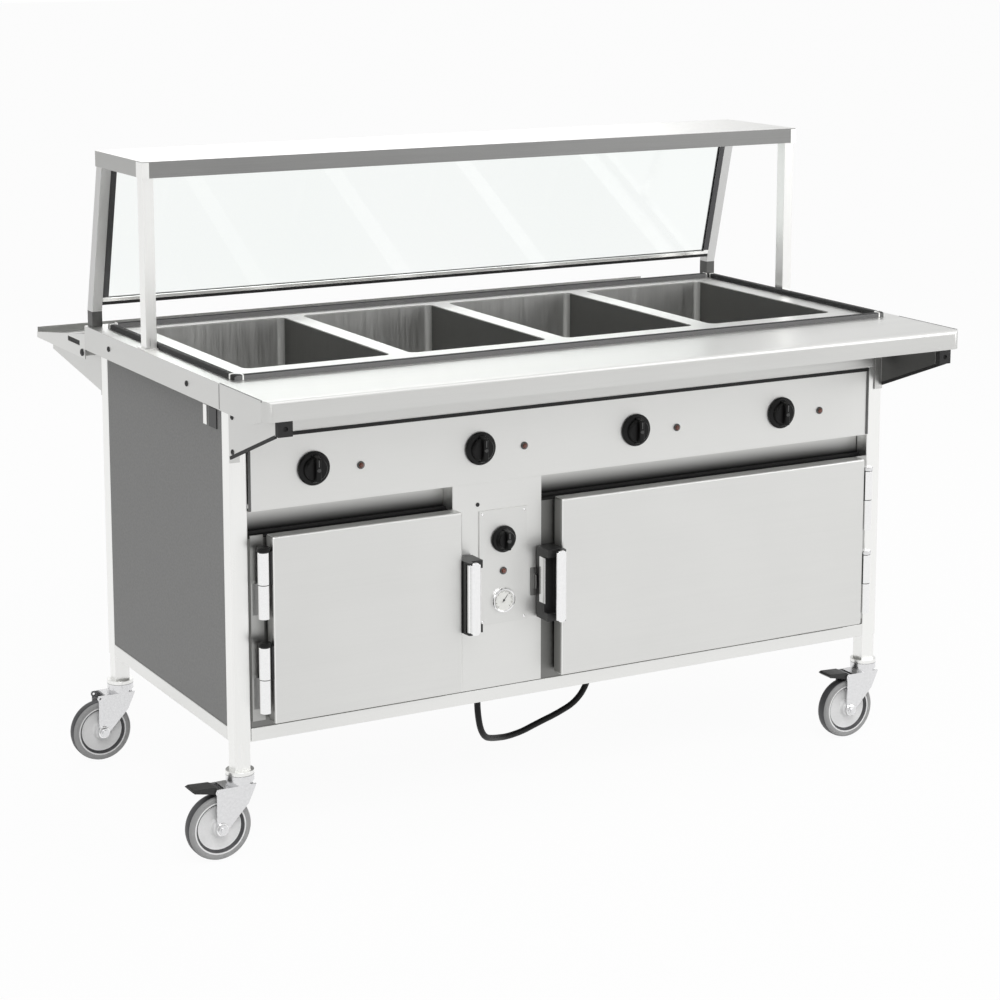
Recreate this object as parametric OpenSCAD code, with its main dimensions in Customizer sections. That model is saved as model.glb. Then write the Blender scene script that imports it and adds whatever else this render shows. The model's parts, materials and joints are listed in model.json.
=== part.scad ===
// Mobile hot food serving counter: four heated wells in a steel top on a square tube frame,
// two heated compartments below, a glazed overshelf, a front work shelf and a rear tray slide.
// Front (operator) is -Y, customers stand at +Y, Z is up, and the wheels stand on z = 0.

/* [Top] */
// Height of the work surface above the floor
top_h = 914; // [880:1:960]
// Length of the top over its end skirts
top_len = 1538; // [1520:1:1640]
// Depth of the top over its front and rear skirts
top_dep = 712; // [700:1:760]
// Depth of the skirt that hangs from the top
skirt_h = 50; // [40:1:60]
// Thickness of the top's sheet
top_t = 2; // [1.5:0.5:3]
// How far the top overhangs the frame at each end
overhang_x = 26; // [20:1:34]
// How far the top overhangs the frame at front and rear
overhang_y = 21; // [15:1:28]

/* [Wells] */
// Length of a well opening, front to rear
well_dep = 508; // [490:1:515]
// Width of a well opening
well_w = 305; // [290:1:312]
// Distance from one well's centre to the next
well_pitch = 346.5; // [340:0.5:350]
// Depth of a well below the work surface
well_deep = 203; // [150:1:210]
// Corner radius of a well
well_r = 16; // [8:1:24]
// Where the row of wells is centred, front to rear
well_y = 5; // [0:1:10]
// Thickness of a well's sheet
well_t = 1.5; // [1:0.5:2]
// Width of the raised seal round the row of wells
seal_w = 14; // [8:1:16]
// Height of the raised seal
seal_h = 10; // [6:1:14]

/* [Frame] */
// Side of a square corner post
post = 35; // [32:1:40]
// Wall of a corner post
post_t = 2; // [1.5:0.5:3]
// Height of the bottom rails' underside
rail_z = 222; // [215:1:240]
// Height of a bottom rail
rail_h = 26; // [20:1:32]
// Depth of a bottom rail, across its length
rail_d = 30; // [24:1:34]
// Thickness of the body's sheets
sheet = 2; // [1.5:0.5:2.5]

/* [Front] */
// Drop from the work surface to the underside of the control panel
panel_drop = 251; // [245:1:260]
// Height of the front rail under the top's skirt
front_rail_h = 52; // [40:1:56]
// Width of a switch body behind the panel
switch_w = 38; // [34:1:44]
// Height of a switch body behind the panel
switch_h = 44; // [38:1:50]
// Depth of a switch body behind the panel
switch_deep = 45; // [40:1:52]
// Drop from the work surface to the knobs' centres
knob_drop = 182; // [172:1:192]
// Distance from one knob to the next
knob_pitch = 353; // [345:1:356]
// Centre of the row of knobs and lights, from the middle
knob_x0 = -46; // [-56:1:-36]
// Distance from a knob to its pilot light
light_dx = 98; // [90:1:110]
// How far a pilot light sits below the knobs' centres
light_drop = 5; // [0:1:10]
// Diameter of a well knob's skirt
knob_d = 65; // [55:1:70]
// Diameter of the compartment knob's skirt
stat_knob_d = 53; // [45:1:58]
// Diameter of a knob's spindle
spindle_d = 6; // [5:0.5:8]
// Diameter of a switch's threaded bush
bush_d = 10; // [9.5:0.5:12]
// Diameter of a pilot light's lens bezel
light_d = 15; // [12:1:18]

/* [Centre column] */
// Left edge of the centre column
col_x0 = -283; // [-288:1:-276]
// Right edge of the centre column
col_x1 = -86; // [-92:1:-80]
// Width of the control plate on the column
plate_w = 106; // [98:1:112]
// Drop from the control panel's underside to the control plate
plate_drop = 56; // [46:1:62]
// Height of the control plate
plate_h = 229; // [222:1:240]
// Drop from the control plate's top to the thermostat knob
stat_drop = 60; // [52:1:66]
// Drop from the thermostat knob to the column's pilot light
col_light_drop = 64; // [56:1:70]
// Drop from the column's pilot light to the dial thermometer
dial_drop = 59; // [54:1:66]
// Diameter of the dial thermometer
dial_d = 50; // [44:1:56]

/* [Doors] */
// Height of the doors' lower edge above the base floor
door_foot = 12; // [6:1:18]
// Gap between the doors and the control panel above them
door_head = 43; // [38:1:50]
// Gap between a post and the door's edge, where the hinge stands
hinge_gap = 32; // [31:1:36]
// Free edge of the left door
left_free = -280; // [-284:1:-276]
// Free edge of the right door
right_free = -60; // [-64:1:-56]
// Thickness of a door without its gasket
door_t = 32; // [26:1:36]
// Thickness of the door gasket
gasket_t = 6; // [4:1:8]
// Diameter of a hinge barrel
barrel_d = 22; // [18:1:23]
// Length of a hinge
hinge_l = 128; // [100:2:130]
// Distance from the door's lower edge to the lower hinge
hinge_low = 22; // [16:1:26]
// Distance from the door's upper edge to the upper hinge
hinge_high = 27; // [20:1:32]
// Diameter of a hinge pin
pin_d = 8; // [6:1:10]
// Width of a latch case
latch_w = 38; // [34:1:40]
// Length of a latch case
latch_l = 144; // [120:2:150]
// How far a latch case's centre stands above the door's centre
latch_rise = 11; // [0:1:20]
// How far a latch case stands out from the column
latch_out = 44; // [40:1:48]
// Width of a latch handle
handle_w = 24; // [20:1:26]

/* [Front shelf] */
// How far the front shelf stands out from the top
shelf_out = 203; // [180:1:230]
// Height of the front shelf's edge
lip_h = 38; // [30:1:44]
// Corner radius of the front shelf
shelf_r = 18; // [8:1:26]
// Rounding along the front shelf's upper edge
nose_r = 8; // [4:1:12]
// Side of the square end blocks under the front shelf
bumper = 28; // [22:1:32]
// Height of a front bracket at the post
gusset_h = 144; // [130:1:160]

/* [Tray slide] */
// How far the tray slide stands out from the top
slide_out = 304; // [280:1:330]
// How far the tray slide's surface lies below the work surface
slide_drop = 61; // [58:1:70]
// Height of the tray slide's outer edge above its surface
slide_lip = 14; // [8:1:20]
// Diameter of the ribs that trays run on
rib_d = 16; // [10:1:20]
// Height of a rear bracket at the post
rear_gusset_h = 73; // [60:1:90]
// Height of a rear bracket at its tip
rear_tip_h = 30; // [20:1:40]

/* [Overshelf] */
// Height of the overshelf above the work surface
over_rise = 366; // [330:1:420]
// How far the overshelf's ends stand in from the top's
over_in = 6; // [2:1:10]
// Front edge of the overshelf
over_y0 = 18; // [10:1:22]
// Rear edge of the overshelf
over_y1 = 282; // [276:1:296]
// Height of the overshelf's edge
over_edge = 32; // [24:1:40]
// Thickness of the overshelf's sheet
over_t = 1.5; // [1:0.5:2]
// Width of an upright, along the counter
up_w = 22; // [18:1:23]
// Depth of an upright, front to rear
up_d = 28; // [24:1:32]
// Front face of the front uprights
front_up_y = 24; // [20:1:30]
// Height at which the rear uprights start to lean
kink_h = 34; // [28:1:45]
// Lean of the rear uprights from the vertical
lean = 14.2; // [12:0.2:15]
// Thickness of the guard glass
glass_t = 6; // [4:1:8]
// Height of the guard glass above the work surface
glass_gap = 52; // [46:1:70]

/* [Casters] */
// Diameter of a wheel
wheel_d = 127; // [115:1:130]
// Width of a wheel's tread
wheel_w = 30; // [26:1:34]
// Distance from the swivel axis to the wheel's axle
trail = 46; // [40:1:52]
// Diameter of a wheel's axle
axle_d = 12; // [10:1:14]
// Diameter of the swivel's king pin
king_d = 12; // [10:1:14]
// Gap between the wheel and the crown of its fork
crown_gap = 11; // [9:1:16]
// Reach of a brake pedal from its pivot
pedal_out = 52; // [40:1:58]

/* [Cord] */
// Diameter of the mains cord
cord_d = 13; // [10:1:14]

/* [Hidden] */
$fn = 48;

// Clearance of a turning shaft in its bore, on the radius
run = 0.08;
// Clearance between two pieces that move past each other
slip = 0.3;
// Small overlap that lets a cut run past a face
cut = 1;

top_x = top_len / 2;
top_y = top_dep / 2;
under = top_h - top_t;
skirt_z = top_h - skirt_h;
post_x = top_x - overhang_x;
post_y = top_y - overhang_y;
leg_x = post_x - post / 2;
leg_y = post_y - post / 2;
bay_x = post_x - post;
bay_y = post_y - post;
floor_z = rail_z + rail_h;
face_y = -post_y - sheet;
floor_top = floor_z + sheet;
panel_z = top_h - panel_drop;
knob_z = top_h - knob_drop;
plate_z1 = panel_z - plate_drop;
plate_z0 = plate_z1 - plate_h;
stat_z = plate_z1 - stat_drop;
col_light_z = stat_z - col_light_drop;
dial_z = col_light_z - dial_drop;
over_h = top_h + over_rise;
over_x = top_x - over_in;

well_bottom = top_h - well_deep;
well_x = [for (i = [0:3]) (i - 1.5) * well_pitch];
seal_gap = 1.5;
seal_x = over_x - over_t - up_w - seal_gap;
seal_y0 = -top_y + 4;
seal_y1 = top_y - up_d - 17;

knob_x = [for (i = [0:3]) knob_x0 + (i - 1.5) * knob_pitch];
light_z = knob_z - light_drop;
col_mid = (col_x0 + col_x1) / 2 + 12;
col_depth = 55;
header_y = -bay_y;

door_back = -post_y - slip - gasket_t;
door_front = door_back - door_t;
door_x = bay_x - hinge_gap;
door_z0 = floor_top + door_foot;
door_z1 = panel_z - door_head;
door_h = door_z1 - door_z0;
door_skin = 1.5;
door_r = 4;
seat = 14;
open_z0 = door_z0 + seat;
open_z1 = door_z1 - seat;
liner_t = 1.5;
liner_back = bay_y - 10;
pin_x = door_x + 14;
pin_y = door_front + barrel_d / 2;
strip_t = 3;
latch_mid = (left_free + right_free) / 2;
case_back = -post_y - sheet - 3;
case_front = case_back - latch_out;
latch_z0 = (door_z0 + door_z1 - latch_l) / 2 + latch_rise;
ear_t = 4;
ear_r = 6;
lever_pin_r = 3;
lever_y = case_front - ear_r;
pivot_x = right_free - 7;

shelf_y = -top_y - shelf_out;
bracket_t = 3;
bracket_tip = shelf_y + 14;
bracket_foot = top_h - gusset_h;
slide_y = top_y + slide_out;
slide_z = top_h - slide_drop;
over_under = over_h - over_t;
up_x = over_x - over_t - up_w / 2;
kink_z = top_h + kink_h;
glass_shift = 8;

wheel_r = wheel_d / 2;
crown_z = wheel_d + crown_gap;
crown_t = 4;
race_d = 54;
race_z = crown_z + 22;
collar_t = 8;
leg_side = post - 2 * post_t;
fork_t = 3;
fork_in = wheel_w / 2 + 4.3;
pivot_dx = 52;
pivot_z = crown_z - 2;
pivot_d = 5;

// The part's box on the floor is centred on the origin
box_x0 = -(leg_x + trail + wheel_r);
centre = [-(box_x0 + top_x) / 2, -(slide_y + shelf_y) / 2, 0];

// Middle line of the cord's hanging loop between its two glands, chosen by hand
gland_z = 222;
cord_route = [[-166, -220, 222], [-166, -220, 202], [-166, -220, 182], [-165, -220, 162],
    [-162, -219, 142], [-156, -215, 123], [-146, -207, 107], [-132, -194, 94], [-115, -177, 84],
    [-97, -158, 75], [-79, -140, 67], [-60, -124, 60], [-40, -112, 55], [-18, -105, 54],
    [6, -102, 57], [31, -101, 64], [56, -100, 71], [80, -100, 78], [103, -100, 86],
    [124, -100, 95], [142, -100, 108], [156, -100, 125], [165, -100, 145], [169, -100, 166],
    [170, -100, 188], [170, -100, 205], [170, -100, 222]];

// A block from its lowest corner to its highest
module block(a, b) translate(a) cube(b - a);

// A rectangle with round corners, centred
module round_rect(w, d, r) {
    square([w - 2 * r, d], center = true);
    square([w, d - 2 * r], center = true);
    for (x = [-1, 1], y = [-1, 1])
        translate([x * (w / 2 - r), y * (d / 2 - r)])
            circle(r);
}

// An outline drawn in the counter's Y-Z plane, thick along X from x0 to x1
module side_plate(x0, x1) translate([x0, 0, 0])
    rotate([90, 0, 90])
        linear_extrude(x1 - x0)
            children();

// The same piece at the left and, mirrored, at the right
module both_ends() {
    children();
    mirror([1, 0, 0]) children();
}

// A cylinder along Y from y0 to y1
module rod_y(x, z, y0, y1, d) translate([x, y1, z])
    rotate([90, 0, 0])
        cylinder(h = y1 - y0, d = d);

module at_corners() for (x = [-leg_x, leg_x], y = [-leg_y, leg_y])
    translate([x, y, 0])
        children();

// Frame

module corner_posts() color("gainsboro") at_corners()
    translate([0, 0, rail_z])
        linear_extrude(under - rail_z)
            difference() {
                round_rect(post, post, 3);
                square(leg_side, center = true);
            }

module caster_legs() color("gainsboro") at_corners() {
    socket = 40;
    head_d = 22;
    head_h = 6;
    translate([0, 0, race_z + collar_t])
        linear_extrude(rail_z + socket - race_z - collar_t)
            square(leg_side, center = true);
    translate([0, 0, race_z])
        cylinder(h = collar_t, d = race_d);
    translate([0, 0, crown_z - slip - head_h])
        cylinder(h = race_z - crown_z + slip + head_h, d = king_d);
    translate([0, 0, crown_z - slip - head_h])
        cylinder(h = head_h, d = head_d);
}

// One rail, a tube of length l along X, its outer face at y = 0 and the tube behind it
module rail(l) difference() {
    block([-l / 2, 0, rail_z], [l / 2, rail_d, floor_z]);
    block([-l / 2 - cut, sheet, rail_z + sheet], [l / 2 + cut, rail_d - sheet, floor_z - sheet]);
}

module bottom_rails() color("gainsboro") {
    for (a = [0, 180])
        rotate(a) translate([0, -post_y, 0]) rail(2 * bay_x);
    for (a = [90, 270])
        rotate(a) translate([0, -post_x, 0]) rail(2 * bay_y);
}

module base_floor() color("silver") difference() {
    block([-post_x + 1, -post_y + 1, floor_z], [post_x - 1, post_y - 1, floor_top]);
    at_corners()
        translate([0, 0, floor_z - cut])
            linear_extrude(sheet + 2 * cut)
                square(post + 1, center = true);
    for (p = [cord_route[0], cord_route[len(cord_route) - 1]])
        translate([p[0], p[1], floor_z - cut])
            cylinder(h = sheet + 2 * cut, d = 20);
}

module end_panels() color("dimgray") both_ends() {
    flange = 15;
    block([-post_x + 1, -bay_y, floor_top], [-post_x + 1 + sheet, bay_y, under]);
    for (s = [-1, 1])
        translate([0, s * (bay_y - sheet / 2), 0])
            block([-post_x + 1, -sheet / 2, floor_top], [-post_x + flange, sheet / 2, under]);
}

module rear_panel() color("gainsboro") {
    flange = 15;
    block([-bay_x, post_y - 1 - sheet, floor_top], [bay_x, post_y - 1, under]);
    for (s = [-1, 1])
        translate([s * (bay_x - sheet / 2), 0, 0])
            block([-sheet / 2, post_y - flange, floor_top], [sheet / 2, post_y - 1, under]);
}

// Top

module well_hole(r_extra = 0) {
    round_rect(well_w + 2 * r_extra, well_dep + 2 * r_extra, well_r + r_extra);
}

module top_deck() color("whitesmoke") difference() {
    block([-top_x, -top_y, skirt_z], [top_x, top_y, top_h]);
    block([-top_x + top_t, -top_y + top_t, skirt_z - cut], [top_x - top_t, top_y - top_t, under]);
    for (x = well_x)
        translate([x, well_y, under - cut])
            linear_extrude(top_t + 2 * cut)
                well_hole();
}

module well(i) color("gray") translate([well_x[i], well_y, 0]) {
    rim = 12;
    difference() {
        union() {
            translate([0, 0, well_bottom - well_t])
                linear_extrude(under - well_bottom + well_t)
                    well_hole(well_t);
            translate([0, 0, under - well_t])
                linear_extrude(well_t)
                    well_hole(rim);
        }
        translate([0, 0, well_bottom])
            linear_extrude(under - well_bottom + cut)
                well_hole();
    }
}

module well_1() well(0);
module well_2() well(1);
module well_3() well(2);
module well_4() well(3);

module rim_seal() color("#222222") translate([0, (seal_y0 + seal_y1) / 2, top_h])
    linear_extrude(seal_h)
        difference() {
            round_rect(2 * seal_x, seal_y1 - seal_y0, seal_w);
            round_rect(2 * (seal_x - seal_w), seal_y1 - seal_y0 - 2 * seal_w, seal_w / 2);
        }

// A flat hairpin heater of four runs joined by links, under a pan's floor at height z
module heater(x, y, w, l, z) {
    d = 8;
    r = w / 6;
    translate([x, y, z - slip - d / 2]) {
        for (s = [-3, -1, 1, 3])
            translate([s * r, 0, 0])
                rotate([90, 0, 0])
                    cylinder(h = l, d = d, center = true);
        for (s = [-2, 0, 2])
            translate([s * r, (s == 0 ? -1 : 1) * (l / 2 - d), 0])
                rotate([0, 90, 0])
                    cylinder(h = 2 * r, d = d - 2, center = true);
    }
}

module heating_elements() color("#5a4a44") {
    for (x = well_x)
        heater(x, well_y, well_w - 90, well_dep - 160, well_bottom - well_t);
    for (s = [[-door_x, left_free], [right_free, door_x]])
        heater((s[0] + s[1]) / 2, 0, s[1] - s[0] - 150, 2 * bay_y - 220, open_z0 - liner_t);
}

// Compartments and front

// A lined compartment with a face flange from x0 to x1 and an opening from ox0 to ox1
module compartment(x0, x1, ox0, ox1) color("silver") {
    ledge = 12;
    mid = (open_z0 + open_z1) / 2;
    difference() {
        union() {
            block([x0, -post_y, floor_top], [x1, -post_y + sheet, door_z1 - 8]);
            block([ox0 - liner_t, -post_y, open_z0 - liner_t],
                [ox1 + liner_t, liner_back, open_z1 + liner_t]);
        }
        block([ox0, -post_y - cut, open_z0], [ox1, liner_back - liner_t, open_z1]);
    }
    for (x = [ox0, ox1 - ledge])
        block([x, -bay_y, mid - liner_t], [x + ledge, liner_back - 20, mid]);
}

left_open = [-door_x + seat, left_free - seat];
right_open = [right_free + seat, door_x - seat];

module left_compartment() compartment(-bay_x, col_x0, left_open[0], left_open[1]);

module right_compartment() compartment(col_x1, bay_x, right_open[0], right_open[1]);

module rack_shelves() color("lightgray") for (o = [left_open, right_open]) {
    mid = (open_z0 + open_z1) / 2;
    edge = 12;
    difference() {
        block([o[0] + 1, -bay_y + 6, mid], [o[1] - 1, liner_back - 30, mid + edge]);
        block([o[0] + 3, -bay_y + 8, mid + sheet], [o[1] - 3, liner_back - 32, mid + edge + cut]);
    }
}

module centre_column() color("gainsboro") {
    difference() {
        union() {
            block([col_x0, face_y, floor_top], [col_x1, face_y + sheet, panel_z]);
            for (x = [col_x0, col_x1 - sheet])
                block([x, face_y, floor_top], [x + sheet, face_y + col_depth, panel_z]);
        }
        rod_y(col_mid, stat_z, face_y - cut, face_y + sheet + cut, bush_d);
        rod_y(col_mid, col_light_z, face_y - cut, face_y + sheet + cut, light_d - 4);
        rod_y(col_mid, dial_z, face_y - cut, face_y + sheet + cut, dial_d - 8);
    }
}

module door_header() color("#8a8a8a") for (s = [[-bay_x, col_x0], [col_x1, bay_x]]) {
    ledge_z = door_z1 - 8;
    block([s[0], -post_y, ledge_z], [s[1], header_y + sheet, ledge_z + sheet]);
    block([s[0], header_y, ledge_z], [s[1], header_y + sheet, panel_z + 6]);
}

module control_panel() color("gainsboro") {
    flange = 20;
    difference() {
        union() {
            block([-bay_x + 1, face_y, panel_z], [bay_x - 1, face_y + sheet, under]);
            block([-bay_x + 1, face_y, panel_z], [bay_x - 1, face_y + flange, panel_z + sheet]);
        }
        for (x = knob_x) {
            rod_y(x, knob_z, face_y - cut, face_y + sheet + cut, bush_d);
            rod_y(x + light_dx, light_z, face_y - cut, face_y + sheet + cut, light_d - 4);
        }
    }
}

module front_rail() color("gainsboro") {
    z0 = skirt_z - front_rail_h;
    y0 = -top_y;
    difference() {
        block([-bay_x + 3, y0, z0], [bay_x - 3, face_y, skirt_z]);
        block([-bay_x + 3 - cut, y0 + sheet, z0 + sheet], [bay_x - 3 + cut, face_y + cut, skirt_z - sheet]);
    }
}

// A rotary switch behind a panel whose front face is at y, with its bush and nut through the panel
module switch_body(x, z, y, w, h) difference() {
    nut_t = 3;
    union() {
        block([x - w / 2, y + sheet, z - h / 2], [x + w / 2, y + switch_deep, z + h / 2]);
        rod_y(x, z, y - nut_t - 1, y + sheet, bush_d);
        translate([x, y, z])
            rotate([90, 0, 0])
                cylinder(h = nut_t, d = 16, $fn = 6);
    }
    rod_y(x, z, y - nut_t - 2, y + 40, spindle_d + 2 * run);
}

module heat_switches() color("#3b3b3b") for (x = knob_x)
    switch_body(x, knob_z, face_y, switch_w, switch_h);

// The column's devices sit on the control plate, which lies on the column's face
module control_plate() color("whitesmoke") difference() {
    block([col_mid - plate_w / 2, face_y - sheet, plate_z0], [col_mid + plate_w / 2, face_y, plate_z1]);
    rod_y(col_mid, stat_z, face_y - 2 * sheet, face_y + cut, bush_d);
    rod_y(col_mid, col_light_z, face_y - 2 * sheet, face_y + cut, light_d - 4);
    rod_y(col_mid, dial_z, face_y - 2 * sheet, face_y + cut, dial_d - 8);
}

module thermostat() color("#3b3b3b") difference() {
    nut_t = 3;
    y = face_y;
    union() {
        block([col_mid - switch_h / 2, y + sheet, stat_z - 30], [col_mid + switch_h / 2, y + switch_deep, stat_z + 30]);
        rod_y(col_mid, stat_z, y - sheet - nut_t - 1, y + sheet, bush_d);
        translate([col_mid, y - sheet, stat_z])
            rotate([90, 0, 0])
                cylinder(h = nut_t, d = 16, $fn = 6);
    }
    rod_y(col_mid, stat_z, y - sheet - nut_t - 2, y + 40, spindle_d + 2 * run);
}

// A jewel light whose bezel seats on a face at y, its body through a panel t thick
module jewel(x, z, y, t) {
    lens_r = light_d / 2 - 2;
    rod_y(x, z, y, y + t + 14, light_d - 4);
    translate([x, y, z])
        rotate([90, 0, 0])
            rotate_extrude()
                polygon([[0, 0], [light_d / 2, 0], [light_d / 2, 2], [light_d / 2 - 1, 3], [lens_r, 3],
                    [lens_r - 1, 5.5], [lens_r - 2.5, 6.6], [0, 7]]);
}

module pilot_lights() color("#7a3b30") {
    for (x = knob_x)
        jewel(x + light_dx, light_z, face_y, sheet);
    jewel(col_mid, col_light_z, face_y - sheet, 2 * sheet);
}

module thermometer() color("white") {
    rod_y(col_mid, dial_z, face_y - sheet, face_y + sheet + 18, dial_d - 8);
    translate([col_mid, face_y - sheet, dial_z])
        rotate([90, 0, 0])
            rotate_extrude()
                polygon([[0, 0], [dial_d / 2, 0], [dial_d / 2, 4], [dial_d / 2 - 1.5, 6],
                    [dial_d / 2 - 4, 6], [dial_d / 2 - 4, 3], [0, 3]]);
}

// Knobs turn on a spindle along Y; the skirt's back stands clear of the face at y
module knob(x, z, y, d, reach) translate([x, y, z])
    rotate([90, 0, 0]) {
        clear = 1.2;
        skirt = 6;
        tall = 27;
        difference() {
            union() {
                rotate_extrude()
                    polygon([[0, clear], [d / 2, clear], [d / 2, clear + 2.5], [d / 2 - 3, skirt],
                        [d * 0.36, skirt + 2], [d * 0.34, skirt + 9], [d * 0.3, skirt + 11], [0, skirt + 11.5]]);
                intersection() {
                    translate([-d * 0.11, -d * 0.4, skirt])
                        cube([d * 0.22, d * 0.8, tall - skirt]);
                    cylinder(h = tall, d1 = d * 0.98, d2 = d * 0.62);
                }
            }
            cylinder(h = 5.5, d = 20);
        }
        translate([0, 0, -reach])
            cylinder(h = reach + skirt + 3, d = spindle_d);
    }

module knob_1() color("#1c1c1c") knob(knob_x[0], knob_z, face_y, knob_d, 36);
module knob_2() color("#1c1c1c") knob(knob_x[1], knob_z, face_y, knob_d, 36);
module knob_3() color("#1c1c1c") knob(knob_x[2], knob_z, face_y, knob_d, 36);
module knob_4() color("#1c1c1c") knob(knob_x[3], knob_z, face_y, knob_d, 36);
module thermostat_knob() color("#1c1c1c") knob(col_mid, stat_z, face_y - sheet, stat_knob_d, 38);

// Shelves and brackets

// Outline of the front shelf in the Y-Z plane, drawn in from its outer faces by t
module shelf_profile(t) {
    y0 = shelf_y + t;
    z1 = top_h - t;
    r = nose_r - t / 2;
    polygon([[-top_y - t, top_h - lip_h - (t > 0 ? cut : 0)], [y0, top_h - lip_h - (t > 0 ? cut : 0)],
        [y0, z1 - r], [y0 + r, z1], [-top_y - t, z1]]);
    translate([y0 + r, z1 - r])
        circle(r);
}

// Plan of the front shelf, drawn in by t, with its outer corners round
module shelf_plan(t) {
    r = shelf_r - t;
    w = top_x - t;
    translate([-w, shelf_y + t + r])
        square([2 * w, -top_y - t - shelf_y - t - r]);
    translate([-w + r, shelf_y + t])
        square([2 * (w - r), 2 * r]);
    for (s = [-1, 1])
        translate([s * (w - r), shelf_y + t + r])
            circle(r);
}

module shelf_form(t) intersection() {
    side_plate(-top_x - cut, top_x + cut) shelf_profile(t);
    translate([0, 0, top_h - lip_h - 2 * cut])
        linear_extrude(lip_h + 3 * cut)
            shelf_plan(t);
}

module front_shelf() color("whitesmoke") {
    difference() {
        shelf_form(0);
        shelf_form(top_t);
    }
    lip_z = top_h - lip_h;
    both_ends()
        side_plate(-top_x, -top_x + top_t)
            polygon([[-top_y, skirt_z], [-top_y, lip_z + 4], [bracket_tip, lip_z + 4], [bracket_tip, lip_z],
                [bracket_tip + 40, skirt_z]]);
}

module front_brackets() color("gainsboro") both_ends() {
    low = top_h - lip_h - bumper;
    x0 = -post_x;
    flange = 24;
    back_y = -top_y - top_t - slip;
    side_plate(x0, x0 + bracket_t)
        polygon([[-post_y - bracket_t, bracket_foot], [bracket_tip, low], [bracket_tip, under],
            [back_y, under], [back_y, skirt_z - slip], [-post_y - bracket_t, skirt_z - slip]]);
    block([x0, -post_y - bracket_t, bracket_foot - 11], [x0 + 20, -post_y, skirt_z - 13]);
    block([x0, bracket_tip, low], [x0 + bumper, bracket_tip + bracket_t, under]);
    block([x0, bracket_tip, under - bracket_t], [x0 + flange, back_y, under]);
}

module bracket_bumpers() color("#1a1a1a") both_ends()
    difference() {
        z1 = top_h - lip_h;
        block([-post_x, shelf_y, z1 - bumper], [-post_x + bumper, bracket_tip, z1]);
        translate([-post_x + bumper / 2, shelf_y - cut, z1 - bumper / 2])
            rotate([-90, 0, 0])
                cylinder(h = 5, d = 9);
    }

module tray_slide() color("silver") {
    hem = 9;
    rise = 44;
    ribs = [0.25, 0.5, 0.75];
    slot_y = 68;
    difference() {
        union() {
            block([-top_x + 1, top_y, slide_z - sheet], [top_x - 1, slide_y, slide_z]);
            block([-top_x + 1, top_y, slide_z - sheet], [top_x - 1, top_y + sheet, slide_z + 24]);
            block([-top_x + 1, slide_y - sheet, slide_z - hem], [top_x - 1, slide_y, slide_z + slide_lip]);
            both_ends()
                side_plate(-top_x, -top_x + sheet)
                    polygon([[top_y, slide_z + rise], [slide_y, slide_z + 3], [slide_y, slide_z - hem],
                        [top_y, slide_z - hem]]);
            for (k = ribs)
                translate([0, top_y + k * slide_out, slide_z])
                    rotate([0, 90, 0])
                        cylinder(h = 2 * top_x - 60, d = rib_d, center = true);
        }
        for (k = ribs)
            translate([0, top_y + k * slide_out, slide_z])
                rotate([0, 90, 0])
                    cylinder(h = 2 * top_x - 64, d = rib_d - 2 * sheet, center = true);
        for (k = ribs)
            translate([0, top_y + k * slide_out, slide_z - rib_d / 2 - sheet])
                cube([2 * top_x - 56, rib_d + 2, rib_d], center = true);
        for (s = [-1, 1])
            translate([s * top_x, top_y + slot_y, slide_z + 20])
                cube([4 * sheet, 72, 10], center = true);
    }
}

module rear_brackets() color("gainsboro") both_ends() {
    x0 = -post_x;
    z1 = slide_z - sheet;
    foot = z1 - rear_gusset_h;
    tip = slide_y - 26;
    flange = 22;
    side_plate(x0, x0 + bracket_t)
        polygon([[post_y, foot], [tip, z1 - rear_tip_h], [tip, z1], [post_y, z1]]);
    block([x0, post_y, foot - 8], [x0 + 20, post_y + bracket_t, z1]);
    block([x0, post_y, z1 - bracket_t], [x0 + flange, tip, z1]);
}

module overshelf() color("whitesmoke") difference() {
    block([-over_x, over_y0, over_h - over_edge], [over_x, over_y1, over_h]);
    block([-over_x + over_t, over_y0 + over_t, over_h - over_edge - cut],
        [over_x - over_t, over_y1 - over_t, over_under]);
}

module front_uprights() color("gainsboro") both_ends() {
    wall = 1.5;
    y0 = front_up_y;
    difference() {
        block([-up_x - up_w / 2, y0, top_h], [-up_x + up_w / 2, y0 + up_d, over_under]);
        block([-up_x - up_w / 2 + wall, y0 + wall, top_h + 6],
            [-up_x + up_w / 2 - wall, y0 + up_d - wall, over_under + cut]);
    }
    difference() {
        block([-top_x + 2, y0 - 7, top_h], [-up_x + up_w / 2 + 0.5, y0 + up_d + 7, top_h + 3]);
        block([-up_x - up_w / 2, y0, top_h - cut], [-up_x + up_w / 2, y0 + up_d, top_h + 4]);
    }
}

// Outline of a leaning rear upright, drawn in by t
module upright_side(t) {
    run_up = over_under - kink_z + 2 * t;
    back = top_y - t;
    front = top_y - up_d + t;
    dy = run_up * tan(lean);
    polygon([[front, top_h + 6 * t], [back, top_h + 6 * t], [back, kink_z],
        [back - dy, over_under + 2 * t], [front - dy, over_under + 2 * t], [front, kink_z]]);
}

module rear_uprights() color("gainsboro") both_ends() {
    wall = 1.5;
    difference() {
        side_plate(-up_x - up_w / 2, -up_x + up_w / 2) upright_side(0);
        side_plate(-up_x - up_w / 2 + wall, -up_x + up_w / 2 - wall) upright_side(wall);
    }
}

// Sloping plane of the guard glass: Z runs up the glass, Y across its thickness
module on_glass() difference() {
    translate([0, top_y - up_d / 2 - glass_shift, kink_z])
        rotate([lean, 0, 0])
            children();
    block([-top_x, over_y0 - 100, over_under], [top_x, top_y, over_under + 100]);
}

glass_v0 = (glass_gap - kink_h) / cos(lean);
glass_v1 = (over_under - kink_z) / cos(lean) + 20;
channel_w = 12;

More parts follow.
